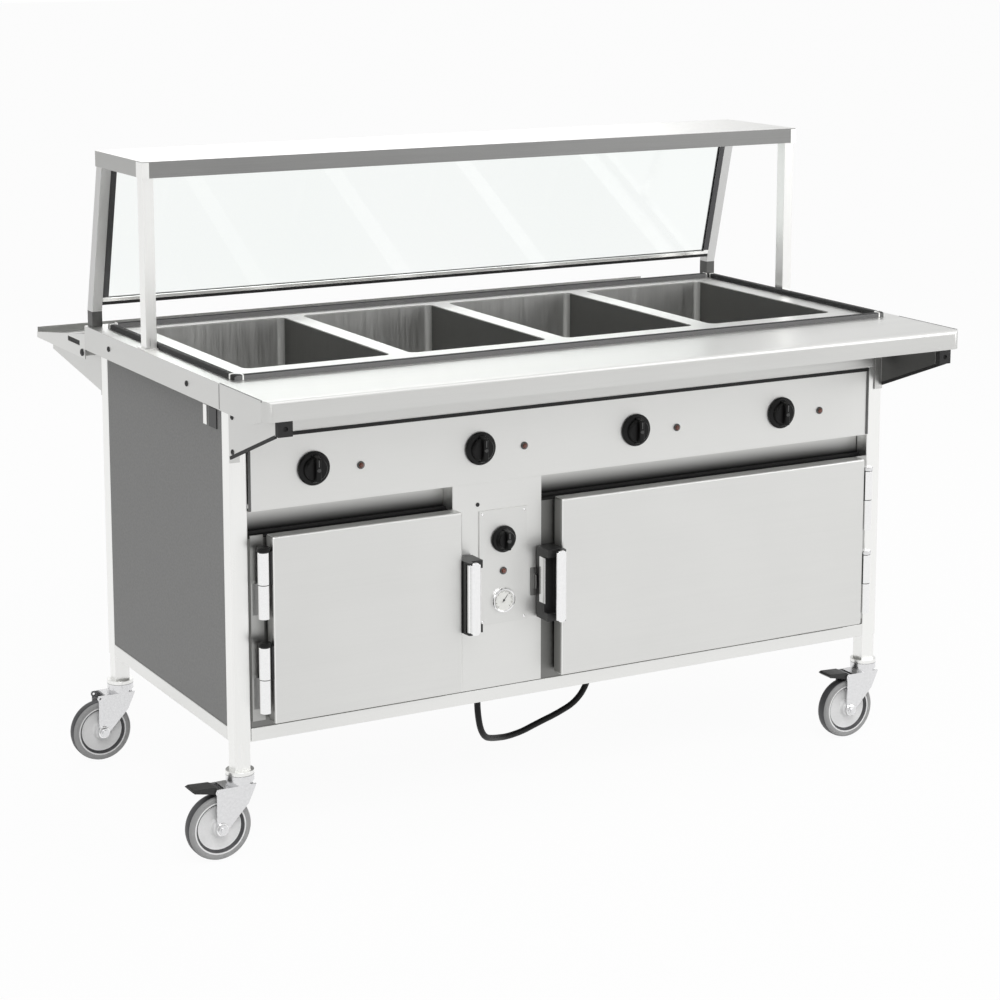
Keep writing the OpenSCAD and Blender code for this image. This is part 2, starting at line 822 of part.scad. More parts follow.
module glazing_frame() color("#4a4a4a") on_glass() {
    x0 = up_x - up_w / 2;
    inner = glass_t / 2 + slip;
    both_ends()
        difference() {
            block([-x0, -6, glass_v0 - 6], [-x0 + channel_w, 6, glass_v1]);
            block([-x0 + 4, -inner, glass_v0], [-x0 + channel_w + cut, inner, glass_v1 + cut]);
        }
    difference() {
        block([-x0 + channel_w, -6, glass_v0 - 6], [x0 - channel_w, 6, glass_v0 + 8]);
        block([-x0, -inner, glass_v0], [x0, inner, glass_v0 + 20]);
    }
}

module guard_glass() color("lightblue", 0.4) on_glass()
    block([-up_x + up_w / 2 + 4 + slip, -glass_t / 2, glass_v0],
        [up_x - up_w / 2 - 4 - slip, glass_t / 2, glass_v1]);

// Doors

// A door pan with its inner liner sheet and gasket, from x0 to x1
module door(x0, x1) color("gainsboro") {
    w = x1 - x0;
    mid = [(x0 + x1) / 2, door_back, (door_z0 + door_z1) / 2];
    ring = 8;
    inset = 5;
    difference() {
        translate(mid)
            rotate([90, 0, 0])
                linear_extrude(door_t)
                    round_rect(w, door_h, door_r);
        translate(mid + [0, cut, 0])
            rotate([90, 0, 0])
                linear_extrude(door_t - door_skin + cut)
                    round_rect(w - 2 * door_skin, door_h - 2 * door_skin, door_r - door_skin);
    }
    translate(mid)
        rotate([90, 0, 0])
            linear_extrude(door_skin)
                round_rect(w - 2 * door_skin, door_h - 2 * door_skin, door_r - door_skin);
    translate(mid + [0, gasket_t, 0])
        rotate([90, 0, 0])
            linear_extrude(gasket_t)
                difference() {
                    round_rect(w - 2 * inset, door_h - 2 * inset, ring);
                    round_rect(w - 2 * inset - 2 * ring, door_h - 2 * inset - 2 * ring, 2);
                }
}

module left_door() door(-door_x, left_free);
module right_door() door(right_free, door_x);

hinge_feet = [door_z0 + hinge_low, door_z1 - hinge_high - hinge_l];
half_l = hinge_l / 2;

// Frame halves: lower barrel, its pin and the leaf on a dark mounting strip beside the left door
module frame_hinge_side() {
    block([-bay_x + 2, -post_y - strip_t, door_z0], [-door_x - 4, -post_y, door_z1 - 2]);
    for (z = hinge_feet) {
        leaf_y = -post_y - strip_t;
        translate([-pin_x, pin_y, z]) {
            cylinder(h = half_l, d = barrel_d);
            cylinder(h = hinge_l - 3, d = pin_d);
        }
        block([-pin_x - 4, pin_y, z + 2], [-pin_x + 4, leaf_y, z + half_l - 2]);
        block([-bay_x + 4, leaf_y - 3, z + 2], [-door_x - 5, leaf_y, z + half_l - 2]);
    }
}

module frame_hinges() color("#d8d8d8") both_ends() frame_hinge_side();

// Door half of a left hinge: upper barrel and the pad on the door's edge
module door_hinge_side() for (z = hinge_feet)
    difference() {
        union() {
            translate([-pin_x, pin_y, z + half_l + slip])
                cylinder(h = half_l - slip, d = barrel_d);
            block([-pin_x, pin_y - 5, z + half_l + slip], [-door_x, pin_y + 5, z + hinge_l]);
            block([-door_x - 3, door_front + 3, z + half_l + slip], [-door_x, door_back - 3, z + hinge_l]);
        }
        translate([-pin_x, pin_y, z])
            cylinder(h = hinge_l + cut, d = pin_d + 2 * run);
    }

// A latch case whose flat side seats on the edge of a right-hand door at x = right_free
module latch_case() {
    x1 = right_free;
    x0 = x1 - latch_w;
    z0 = latch_z0;
    z1 = latch_z0 + latch_l;
    pocket = 14;
    difference() {
        union() {
            block([x0, case_front, z0], [x1, case_back, z1]);
            for (z = [z0, z1 - ear_t])
                translate([pivot_x, lever_y, z]) {
                    cylinder(h = ear_t, r = ear_r);
                    block([-ear_r, 0, 0], [ear_r, case_front - lever_y + 1, ear_t]);
                }
        }
        block([x0 - cut, case_front - cut, z0 + 16], [pivot_x - 9, case_front + pocket, z1 - 16]);
    }
    translate([pivot_x, lever_y, z0])
        cylinder(h = latch_l, r = lever_pin_r);
}

// The lever turns on the case's upright pin, and its bar covers the whole latch
module latch_lever() {
    l = latch_l - 2 * ear_t - 2 * slip;
    free = right_free - 2 - handle_w;
    bar_y = lever_y - ear_r - slip;
    bar_t = 4;
    grip_r = 3.5;
    difference() {
        union() {
            translate([0, 0, latch_z0 + ear_t + slip])
                linear_extrude(l) {
                    translate([pivot_x, lever_y]) circle(ear_r - slip);
                    translate([pivot_x - 7, bar_y - 1]) square([8, ear_r]);
                }
            translate([0, 0, latch_z0])
                linear_extrude(latch_l) {
                    translate([free + grip_r, bar_y - bar_t]) square([pivot_x + 1 - free - grip_r, bar_t]);
                    translate([free + grip_r, bar_y - bar_t + grip_r]) circle(grip_r);
                }
        }
        translate([pivot_x, lever_y, latch_z0 - cut])
            cylinder(h = latch_l + 2 * cut, r = lever_pin_r + run);
    }
}

// The left latch is the right one mirrored about the column
module across_column() translate([2 * latch_mid, 0, 0])
    mirror([1, 0, 0])
        children();

module left_door_hardware() color("#303030") {
    door_hinge_side();
    across_column() latch_case();
}

module right_door_hardware() color("#303030") {
    mirror([1, 0, 0]) door_hinge_side();
    latch_case();
}

module left_handle() color("#e6e6e6") across_column() latch_lever();
module right_handle() color("#e6e6e6") latch_lever();

module strike() {
    x1 = right_free - latch_w - 1;
    z = latch_z0 + latch_l / 2;
    block([x1 - 12, face_y - 2, z - 28], [x1, face_y, z + 28]);
    block([x1 - 4, face_y - 8, z - 14], [x1, face_y - 2, z + 14]);
}

module latch_strikes() color("#d8d8d8") {
    strike();
    across_column() strike();
}

// Casters, drawn about the swivel axis with the wheel trailing towards -X

module fork() color("gainsboro") {
    outer = fork_in + fork_t;
    for (s = [-1, 1])
        difference() {
            translate([0, s * (fork_in + fork_t / 2) + fork_t / 2, 0])
                rotate([90, 0, 0])
                    linear_extrude(fork_t)
                        union() {
                            leg_outline();
                            translate([-pivot_dx, pivot_z]) circle(6);
                        }
            rod_y(-trail, wheel_r, -outer - cut, outer + cut, axle_d);
            rod_y(-pivot_dx, pivot_z, -outer - cut, outer + cut, pivot_d);
        }
    difference() {
        union() {
            block([-trail + 6, -outer, crown_z], [20, outer, crown_z + crown_t]);
            translate([0, 0, crown_z])
                cylinder(h = race_z - crown_z - slip, d = race_d - 6);
            translate([0, 0, race_z - slip - 12])
                cylinder(h = 12, d = race_d);
        }
        translate([0, 0, crown_z - cut])
            cylinder(h = race_z - crown_z + 2 * cut, d = king_d + 2 * run);
    }
    rod_y(-trail, wheel_r, -outer - 9, outer + 8, axle_d);
    for (s = [-1, 1])
        translate([-trail, s * (outer + 3.5) + 3.5, wheel_r])
            rotate([90, 0, 0])
                cylinder(h = 7, d = 21, $fn = 6);
}

// Side outline of a fork leg: straight front edge down to the axle, then back up to the crown
module leg_outline() {
    r = 10;
    translate([-trail, wheel_r]) circle(r);
    polygon([[-trail - r, wheel_r], [-trail - r, crown_z + crown_t], [24, crown_z + crown_t],
        [20, crown_z - 6], [8, crown_z - 32], [-trail + 6, wheel_r - 8]]);
}

module wheel() color("#8f8f8f") {
    rim_r = wheel_r - 11;
    w = wheel_w / 2;
    hub_w = w + 3;
    translate([-trail, 0, wheel_r])
        rotate([90, 0, 0]) {
            rotate_extrude()
                polygon([[axle_d / 2 + run, -hub_w], [16, -hub_w], [18, -hub_w + 4], [18, -6], [rim_r - 7, -5],
                    [rim_r - 5, -w + 1], [rim_r, -w + 1], [rim_r, w - 1], [rim_r - 5, w - 1], [rim_r - 7, 5],
                    [18, 6], [18, hub_w - 4], [16, hub_w], [axle_d / 2 + run, hub_w]]);
            rotate_extrude($fn = 72)
                polygon([[rim_r, -w + 1], [rim_r + 5, -w], [wheel_r - 2, -w + 3], [wheel_r, -w + 8],
                    [wheel_r, w - 8], [wheel_r - 2, w - 3], [rim_r + 5, w], [rim_r, w - 1]]);
        }
}

// Side outline of a brake pedal about its pivot: hub, cam and a pad that reaches out
module pedal_outline() {
    circle(5.5);
    polygon([[4, 5.5], [-6, 10], [-pedal_out + 6, 12], [-pedal_out, 9], [-pedal_out + 6, 4], [-14, -2],
        [-2, -5]]);
}

module brake_pedal() color("#2a2a2a") translate([-pivot_dx, 0, pivot_z])
    rotate([90, 0, 0])
        translate([0, 0, -fork_in + slip + 1])
            linear_extrude(2 * (fork_in - slip - 1))
                difference() {
                    pedal_outline();
                    circle(d = pivot_d + 2 * run);
                }

module pedal_pin() rod_y(-pivot_dx, pivot_z, -fork_in - fork_t - 1, fork_in + fork_t + 1, pivot_d);

module place(i) translate([[-leg_x, -leg_y, 0], [leg_x, -leg_y, 0], [-leg_x, leg_y, 0], [leg_x, leg_y, 0]][i])
    children();

module braked_fork() {
    fork();
    color("gainsboro") pedal_pin();
}

module fork_front_left() place(0) braked_fork();
module fork_front_right() place(1) braked_fork();
module fork_rear_left() place(2) fork();
module fork_rear_right() place(3) fork();
module wheel_front_left() place(0) wheel();
module wheel_front_right() place(1) wheel();
module wheel_rear_left() place(2) wheel();
module wheel_rear_right() place(3) wheel();
module brake_pedal_left() place(0) brake_pedal();
module brake_pedal_right() place(1) brake_pedal();

// Cord

function unit(v) = v / norm(v);
function along(p, i) = unit(p[min(i + 1, len(p) - 1)] - p[max(i - 1, 0)]);
function side_of(t) = unit(cross(t, [1, 0.001, 0.002]));
sides = 10;

module cord() color("#202020") {
    n = len(cord_route);
    ring = [for (i = [0:n - 1], j = [0:sides - 1])
        let (t = along(cord_route, i), u = side_of(t), v = cross(t, u), a = 360 * j / sides)
            cord_route[i] + cord_d / 2 * (cos(a) * u + sin(a) * v)];
    skin = [for (i = [0:n - 2], j = [0:sides - 1])
        let (a = i * sides + j, b = i * sides + (j + 1) % sides)
            [a, a + sides, b + sides, b]];
    ends = [[for (j = [0:sides - 1]) j], [for (j = [sides - 1:-1:0]) (n - 1) * sides + j]];
    polyhedron(points = ring, faces = concat(skin, ends), convexity = 6);
}

module cord_glands() color("#2a2a2a") for (p = [cord_route[0], cord_route[len(cord_route) - 1]])
    translate([p[0], p[1], 0])
        rotate_extrude()
            polygon([[0, gland_z], [cord_d / 2 + 2, gland_z], [cord_d / 2 + 5, floor_z - 4], [15, floor_z - 4],
                [15, floor_z], [10, floor_z], [10, floor_top], [14, floor_top], [14, floor_top + 5], [0, floor_top + 5]]);

// Every piece is moved so that the origin lies under the middle of the whole counter
module placed() translate(centre) children();

placed() corner_posts();
placed() caster_legs();
placed() bottom_rails();
placed() base_floor();
placed() end_panels();
placed() rear_panel();
placed() centre_column();
placed() left_compartment();
placed() right_compartment();
placed() rack_shelves();
placed() heating_elements();
placed() door_header();
placed() control_panel();
placed() front_rail();
placed() heat_switches();
placed() pilot_lights();
placed() control_plate();
placed() thermostat();
placed() thermometer();
placed() top_deck();
placed() well_1();
placed() well_2();
placed() well_3();
placed() well_4();
placed() rim_seal();
placed() front_shelf();
placed() front_brackets();
placed() bracket_bumpers();
placed() tray_slide();
placed() rear_brackets();
placed() overshelf();
placed() front_uprights();
placed() rear_uprights();
placed() glazing_frame();
placed() guard_glass();
placed() frame_hinges();
placed() latch_strikes();
placed() cord_glands();
placed() cord();
placed() left_door();
placed() right_door();
placed() left_door_hardware();
placed() right_door_hardware();
placed() left_handle();
placed() right_handle();
placed() knob_1();
placed() knob_2();
placed() knob_3();
placed() knob_4();
placed() thermostat_knob();
placed() fork_front_left();
placed() fork_front_right();
placed() fork_rear_left();
placed() fork_rear_right();
placed() wheel_front_left();
placed() wheel_front_right();
placed() wheel_rear_left();
placed() wheel_rear_right();
placed() brake_pedal_left();
placed() brake_pedal_right();
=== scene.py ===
import json
import math

import bmesh
import bpy
from mathutils import Matrix, Vector


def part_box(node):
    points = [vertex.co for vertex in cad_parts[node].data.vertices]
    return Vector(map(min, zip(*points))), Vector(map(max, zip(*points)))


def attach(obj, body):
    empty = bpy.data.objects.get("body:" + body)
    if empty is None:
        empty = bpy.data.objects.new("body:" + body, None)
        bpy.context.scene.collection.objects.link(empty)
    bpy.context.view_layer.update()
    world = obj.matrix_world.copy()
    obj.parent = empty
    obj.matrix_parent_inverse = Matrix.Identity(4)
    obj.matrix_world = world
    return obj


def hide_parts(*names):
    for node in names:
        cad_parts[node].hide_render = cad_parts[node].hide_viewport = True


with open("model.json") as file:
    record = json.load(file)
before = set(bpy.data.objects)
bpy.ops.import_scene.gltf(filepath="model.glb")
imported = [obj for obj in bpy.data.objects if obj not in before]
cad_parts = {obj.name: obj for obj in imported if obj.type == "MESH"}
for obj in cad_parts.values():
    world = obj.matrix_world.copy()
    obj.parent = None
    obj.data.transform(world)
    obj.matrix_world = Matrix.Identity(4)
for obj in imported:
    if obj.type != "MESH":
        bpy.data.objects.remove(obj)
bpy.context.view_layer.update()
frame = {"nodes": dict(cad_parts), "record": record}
nodes = frame["nodes"]
record = frame["record"]
nodeBody = {n: body for body, members in record["behaviour"]["bodies"].items() for n in members}

# The middle of the counter's top stands this far from the middle of the whole box
counterMiddle = Vector((0.033, -0.0505, 0.0))


def spot(x, y, z):
    return Vector((x, y, z)) + counterMiddle


# Puts a mesh, curve, lamp or camera into the scene
def addObject(name, data):
    made = bpy.data.objects.new(name, data)
    bpy.context.scene.collection.objects.link(made)
    return made


# Camera: its place from the counter's middle, its turn and downward look in degrees, its lens in millimetres
view = {"at": (-2.4665, -4.4657, 1.7647), "yaw": 28.994, "down": 9.450, "lens": 89.745, "sensor": 36,
        "shift": -0.18, "reach": 60}

camera = bpy.data.cameras.new("camera")
camera.lens = view["lens"]
camera.sensor_width = view["sensor"]
camera.shift_y = view["shift"]
camera.clip_end = view["reach"]
cameraStand = addObject("camera", camera)
cameraStand.location = spot(*view["at"])
cameraStand.rotation_euler = (math.radians(90 - view["down"]), 0, math.radians(-view["yaw"]))
bpy.context.scene.camera = cameraStand
bpy.context.scene.view_settings.view_transform = "Standard"


# A hex colour as written for the screen, turned to linear values
def hexColour(code):
    parts = [int(code[i:i + 2], 16) / 255 for i in (0, 2, 4)]
    return [c / 12.92 if c <= 0.04045 else ((c + 0.055) / 1.055) ** 2.4 for c in parts] + [1.0]


# Adds a node with its settings and links to a material or a world
def addNode(tree, kind, inputs=None, **settings):
    made = tree.nodes.new(kind)
    for key, value in settings.items():
        setattr(made, key, value)
    for key, value in (inputs or {}).items():
        if isinstance(value, bpy.types.NodeSocket):
            tree.links.new(value, made.inputs[key])
        else:
            made.inputs[key].default_value = value
    return made


def newMaterial(name):
    made = bpy.data.materials.new(name)
    made.use_nodes = True
    made.node_tree.nodes.clear()
    return made, made.node_tree


def closeMaterial(made, shader):
    out = addNode(made.node_tree, "ShaderNodeOutputMaterial", {"Surface": shader.outputs[0]})
    out.is_active_output = True
    return made


# A Mix node's two colour inputs and its colour output, which go by number
mixFrom, mixTo, mixed = 6, 7, 2


# Brushed or rolled sheet metal: lines along one axis, each so many millimetres across and long. Real brush
# lines are about 0.1 mm across and would not show, so they are drawn this much coarser.
def brushedMetal(name, colour, dark, rough, across, long, axis, depth=0.02, cloud=220):
    made, tree = newMaterial(name)
    place = addNode(tree, "ShaderNodeTexCoord")
    size = [1000 / across] * 3
    size[axis] = 1000 / long
    lines = addNode(tree, "ShaderNodeMapping", {"Vector": place.outputs["Object"], "Scale": size})
    grain = addNode(tree, "ShaderNodeTexNoise", {"Vector": lines.outputs[0], "Scale": 1.0, "Detail": 3.0})
    wide = addNode(tree, "ShaderNodeTexNoise",
                   {"Vector": place.outputs["Object"], "Scale": 1000 / cloud, "Detail": 2.0})
    both = addNode(tree, "ShaderNodeMix", {"Factor": 0.45, "A": grain.outputs[0], "B": wide.outputs[0]})
    tone = addNode(tree, "ShaderNodeMix",
                   {"Factor": both.outputs[0], mixFrom: hexColour(dark), mixTo: hexColour(colour)},
                   data_type="RGBA")
    shine = addNode(tree, "ShaderNodeMapRange",
                    {"Value": grain.outputs[0], "From Min": 0.3, "From Max": 0.7,
                     "To Min": rough - 0.05, "To Max": rough + 0.07})
    ridge = addNode(tree, "ShaderNodeBump",
                    {"Height": grain.outputs[0], "Strength": depth, "Distance": 0.0006})
    metal = addNode(tree, "ShaderNodeBsdfPrincipled",
                    {"Base Color": tone.outputs[mixed], "Metallic": 1.0, "Roughness": shine.outputs[0],
                     "Normal": ridge.outputs[0]})
    return closeMaterial(made, metal)


# Sheet steel with painted shade that darkens it towards a lower level
def paintedShadeMetal(name, colour, dark, rough, low, high):
    made, tree = newMaterial(name)
    place = addNode(tree, "ShaderNodeTexCoord")
    parts = addNode(tree, "ShaderNodeSeparateXYZ", {"Vector": place.outputs["Object"]})
    rise = addNode(tree, "ShaderNodeMapRange",
                   {"Value": parts.outputs["Z"], "From Min": low, "From Max": high})
    tone = addNode(tree, "ShaderNodeMix",
                   {"Factor": rise.outputs[0], mixFrom: hexColour(dark), mixTo: hexColour(colour)},
                   data_type="RGBA")
    metal = addNode(tree, "ShaderNodeBsdfPrincipled",
                    {"Base Color": tone.outputs[mixed], "Metallic": 1.0, "Roughness": rough})
    return closeMaterial(made, metal)


# A plain finish with a faint mottle, for paint, plastic, rubber and plating. Its grit, in millimetres, is
# drawn coarser than the real grain, which would not show.
def plainFinish(name, colour, dark, rough, metallic=0.0, grit=2.5, depth=0.04, glint=0.5):
    made, tree = newMaterial(name)
    place = addNode(tree, "ShaderNodeTexCoord")
    speck = addNode(tree, "ShaderNodeTexNoise",
                    {"Vector": place.outputs["Object"], "Scale": 1000 / grit, "Detail": 2.0})
    tone = addNode(tree, "ShaderNodeMix",
                   {"Factor": speck.outputs[0], mixFrom: hexColour(dark), mixTo: hexColour(colour)},
                   data_type="RGBA")
    bump = addNode(tree, "ShaderNodeBump",
                   {"Height": speck.outputs[0], "Strength": depth, "Distance": 0.0004})
    body = addNode(tree, "ShaderNodeBsdfPrincipled",
                   {"Base Color": tone.outputs[mixed], "Metallic": metallic, "Roughness": rough,
                    "Normal": bump.outputs[0], "Specular IOR Level": glint})
    return closeMaterial(made, body)


# Satin stainless sheet, brushed along its length: bright, with a soft lengthwise sheen
deckSteel = brushedMetal("satinStainlessTop", "EEEEEC", "E8E8E6", 0.34, 2.5, 260, 0, 0.012)
# Rolled stainless with a dull 2B face: flat light grey with faint clouding
panelSteel = brushedMetal("dullStainlessPanel", "E9E9E7", "DDDDDB", 0.45, 2.5, 200, 0)
doorSteel = brushedMetal("dullStainlessDoor", "E6E6E4", "D9D9D7", 0.44, 2.5, 240, 0)
# The front lip and the rail under it: the same sheet, a shade darker as painted shade, also on the brackets'
# outsides and the upright faces of the top and shelf
lipPaintedShadeSteel = brushedMetal("satinStainlessLipPaintedShade", "DADAD8", "CECECC", 0.36, 2.5, 260, 0)
# Square tube, brushed along its height: bright for the frame, also used as a painted highlight on the doors'
# rounded edges; greyer for the bent pair at the rear
frameSteelAndPaintedHighlight = brushedMetal("satinStainlessTubeAndPaintedHighlight", "FAFAF8", "F2F2F0", 0.32, 2.5, 240, 2)
rearSteel = brushedMetal("satinStainlessRearTube", "DADAD9", "C8C8C7", 0.40, 2.5, 240, 2)
# Deep drawn pans, dulled by heat and washing, with a darker copy as painted shade on the walls that turn from
# the light
wellSteel = brushedMetal("drawnStainlessWell", "D6D6D4", "BCBCBA", 0.42, 3.0, 90, 2)
wellPaintedShade = brushedMetal("drawnStainlessWellPaintedShade", "868684", "70706E", 0.46, 3.0, 90, 2)
# Liners of the heated boxes: unpolished sheet, greyed as painted shade
linerPaintedShadeSteel = brushedMetal("dullStainlessLinerPaintedShade", "8E8E8C", "7A7A78", 0.45, 2.5, 200, 0)
# Header over the doors: bright under the panel, fading to painted shade down at its seal
headerPaintedShadeSteel = paintedShadeMetal("dullStainlessHeaderPaintedShade", "F2F2F0", "2A2A2A", 0.42, 0.619, 0.664)
# Hem of the overshelf and the slide: the same steel, darker as painted shade
paintedShadeEdgeSteel = brushedMetal("satinStainlessEdgePaintedShade", "9A9A99", "848483", 0.36, 2.5, 300, 0)
slidePaintedShadeSteel = brushedMetal("satinStainlessSlidePaintedShade", "BDBDBB", "A9A9A7", 0.36, 2.5, 260, 0)
# Dark steel streaked across, standing for painted shade
paintedShadeSteel = brushedMetal("paintedShadeStainless", "6E6E6D", "585857", 0.42, 2.5, 200, 1)
# Grey hammered enamel on the end sheets: matt, with a fine grain
endEnamel = plainFinish("greyHammerEnamel", "949493", "7C7C7B", 0.55, 0.0, 4.0, 0.25)
# Plating: mirror-like chrome on what hands touch, softer zinc on the casters' pressings
chrome = plainFinish("polishedChrome", "F4F4F4", "ECECEC", 0.10, 1.0, 6.0, 0.01)
zinc = plainFinish("brightZincPlate", "EDEDEE", "DADADB", 0.26, 1.0, 5.0, 0.02)
# Black and grey mouldings, paint and rubber: near black, told apart by their sheen and grain
blackPlastic = plainFinish("blackPhenolicPlastic", "0D0D0D", "080808", 0.38, 0.0, 3.0, 0.02, 0.25)
blackPaint = plainFinish("blackEnamelledSteel", "242424", "1A1A1A", 0.40, 0.0, 3.0, 0.06)
blackRubberAndPaintedShade = plainFinish("blackSealRubberAndPaintedShade", "1B1B1B", "131313", 0.62, 0.0, 3.0, 0.10)
cordRubber = plainFinish("blackRubberCord", "121212", "0C0C0C", 0.55, 0.0, 2.5, 0.10, 0.3)
devicePlastic = plainFinish("darkMouldedPlastic", "2B2B2B", "222222", 0.50, 0.0, 3.0, 0.05)
# Heating tube: steel gone brown and dull with heat
elementMetal = plainFinish("oxidisedHeatingTube", "4A423C", "38322E", 0.55, 0.9, 3.0, 0.10)
# Caster wheels: a grey elastic tyre whose walls are a paler grey as painted light, on a nearly white moulded
# core
wheelTreadAndPaintedShade = plainFinish("greyPolyurethaneTreadAndPaintedShade", "4C4C4E", "404042", 0.48, 0.0, 3.0, 0.06)
wheelWallPaintedLight = plainFinish("greyPolyurethaneWallPaintedLight", "A6A6A6", "969696", 0.50, 0.0, 3.0, 0.04)
wheelCore = plainFinish("lightGreyNylonCore", "F4F4F4", "E8E8E8", 0.42, 0.0, 4.0, 0.04)
# Dial and marks: glossy white enamel with flat printed strokes
dialWhite = plainFinish("whiteEnamelDial", "F2F2EE", "EAEAE6", 0.35, 0.0, 4.0, 0.01)
markBlack = plainFinish("blackPrintedMark", "1A1A1A", "161616", 0.45, 0.0, 4.0, 0.01)
markGrey = plainFinish("greyPaintedLine", "6E6E6E", "646464", 0.45, 0.0, 4.0, 0.01)
# Glass channels and trim: dark anodised aluminium, grey sealant and small grey caps
channelMetal = plainFinish("darkAnodisedChannel", "5E5E5F", "505051", 0.36, 0.85, 3.0, 0.04)
greyRubberAndPaintedLight = plainFinish("greySealRubberAndPaintedLight", "6A6A6A", "5C5C5C", 0.60, 0.0, 3.0, 0.08)
capGrey = plainFinish("greyMouldedCap", "4A4A4A", "404040", 0.45, 0.0, 3.0, 0.03)


# Amber jewel: a warm dark plastic under a clear gloss, faintly faceted every so many millimetres
def jewelPlastic(facets=2.0):
    made, tree = newMaterial("amberJewelPlastic")
    place = addNode(tree, "ShaderNodeTexCoord")
    facet = addNode(tree, "ShaderNodeTexNoise",
                    {"Vector": place.outputs["Object"], "Scale": 1000 / facets, "Detail": 1.0})
    bump = addNode(tree, "ShaderNodeBump",
                   {"Height": facet.outputs[0], "Strength": 0.1, "Distance": 0.0004})
    body = addNode(tree, "ShaderNodeBsdfPrincipled",
                   {"Base Color": hexColour("6E3A2A"), "Roughness": 0.12, "Coat Weight": 0.6,
                    "Normal": bump.outputs[0]})
    return closeMaterial(made, body)


# Tempered glass: clear and faintly green, so the far side stays in sight through it. Its tint drifts over
# so many millimetres.
def clearGlass(drift=500):
    made, tree = newMaterial("clearTemperedGlass")
    place = addNode(tree, "ShaderNodeTexCoord")
    tint = addNode(tree, "ShaderNodeTexNoise",
                   {"Vector": place.outputs["Object"], "Scale": 1000 / drift, "Detail": 0.0})
    tone = addNode(tree, "ShaderNodeMix",
                   {"Factor": tint.outputs[0], mixFrom: hexColour("FDFFFE"), mixTo: hexColour("F9FDFB")},
                   data_type="RGBA")
    body = addNode(tree, "ShaderNodeBsdfPrincipled",
                   {"Base Color": tone.outputs[mixed], "Roughness": 0.0, "IOR": 1.27,
                    "Transmission Weight": 1.0})
    return closeMaterial(made, body)


jewel = jewelPlastic()
glass = clearGlass()
print("finishes made")

finishOfNode = {
    "corner_posts": frameSteelAndPaintedHighlight, "caster_legs": frameSteelAndPaintedHighlight, "bottom_rails": deckSteel,
    "base_floor": linerPaintedShadeSteel, "end_panels": endEnamel, "rear_panel": panelSteel, "centre_column": panelSteel,
    "left_compartment": linerPaintedShadeSteel, "right_compartment": linerPaintedShadeSteel, "rack_shelves": linerPaintedShadeSteel,
    "heating_elements": elementMetal, "door_header": headerPaintedShadeSteel, "control_panel": panelSteel,
    "front_rail": lipPaintedShadeSteel, "heat_switches": devicePlastic, "pilot_lights": jewel,
    "control_plate": doorSteel, "thermostat": devicePlastic, "thermometer": chrome, "top_deck": deckSteel,
    "rim_seal": blackRubberAndPaintedShade, "front_shelf": deckSteel, "front_brackets": panelSteel,
    "bracket_bumpers": blackRubberAndPaintedShade, "tray_slide": slidePaintedShadeSteel, "rear_brackets": panelSteel,
    "overshelf": deckSteel, "front_uprights": frameSteelAndPaintedHighlight, "rear_uprights": rearSteel,
    "glazing_frame": channelMetal, "guard_glass": glass, "frame_hinges": chrome, "latch_strikes": linerPaintedShadeSteel,
    "cord_glands": blackPlastic, "cord": cordRubber, "left_door": doorSteel, "right_door": doorSteel,
    "left_door_hardware": blackPaint, "right_door_hardware": blackPaint, "left_handle": chrome,
    "right_handle": chrome, "thermostat_knob": blackPlastic,
    "brake_pedal_left": blackPaint, "brake_pedal_right": blackPaint}
wells = (1, 2, 3, 4)
casters = ("front_left", "front_right", "rear_left", "rear_right")
for i in wells:
    finishOfNode[f"well_{i}"] = wellSteel
    finishOfNode[f"knob_{i}"] = blackPlastic
for end in casters:
    finishOfNode["fork_" + end] = zinc
    finishOfNode["wheel_" + end] = wheelCore
for name, finish in finishOfNode.items():
    nodes[name].data.materials.clear()
    nodes[name].data.materials.append(finish)


# Ends a piece: mesh to object, its finishes, eased or sharp edges past an angle, its body, what it stands for
def finishPiece(name, mesh, finish, body, replaced=(), sharp=32, bevel=None, second=()):
    data = bpy.data.meshes.new(name)
    mesh.to_mesh(data)
    mesh.free()
    made = addObject(name, data)
    for each in (finish, *second):
        data.materials.append(each)
    for face in data.polygons:
        face.use_smooth = True
    if bevel:
        edge = made.modifiers.new("edge", "BEVEL")
        edge.width = bevel
        edge.segments = 2
        edge.limit_method = "ANGLE"
        edge.angle_limit = math.radians(sharp)
        edge.use_clamp_overlap = True
    else:
        data.set_sharp_from_angle(angle=math.radians(sharp))
    even = made.modifiers.new("even", "WEIGHTED_NORMAL")  # keeps the flats flat up to their eased edges
    even.mode = "FACE_AREA"
    even.weight = 100
    even.keep_sharp = True
    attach(made, body)
    if replaced:
        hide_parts(*replaced)


merging = {"near": 0.00001, "flat": 0.5}  # metres, and degrees between faces that count as one flat


# A CAD node's mesh with its loose triangles merged, its flats whole again and each face's finish picked.
# A mesh that is cut at levels keeps its triangles, since a ring of one face would close its opening.
def wholeMesh(node, pick=None, cuts=()):
    mesh = bmesh.new()
    mesh.from_mesh(nodes[node].data)
    bmesh.ops.remove_doubles(mesh, verts=mesh.verts, dist=merging["near"])
    for level in cuts:
        bmesh.ops.bisect_plane(mesh, geom=mesh.verts[:] + mesh.edges[:] + mesh.faces[:],
                               dist=merging["near"], plane_co=(0, 0, level), plane_no=(0, 0, 1))
    if pick:
        for face in mesh.faces:
            face.material_index = pick(face.normal, face.calc_center_median() - counterMiddle)
    if not cuts:
        bmesh.ops.dissolve_limit(mesh, angle_limit=math.radians(merging["flat"]), verts=mesh.verts,
                                 edges=mesh.edges, delimit={"MATERIAL"})
    return mesh


# A piece's name from its node's words, such as leftDoor from left_door, with an ending if one is given
def titleOf(words, ending=""):
    first, *rest = words.split("_")
    return first + "".join(word.capitalize() for word in rest) + ending


# The CAD node again with its sheared or moulded edges eased
def easedNode(node, width):
    finishPiece(titleOf(node), wholeMesh(node), finishOfNode[node], nodeBody[node], [node], bevel=width)


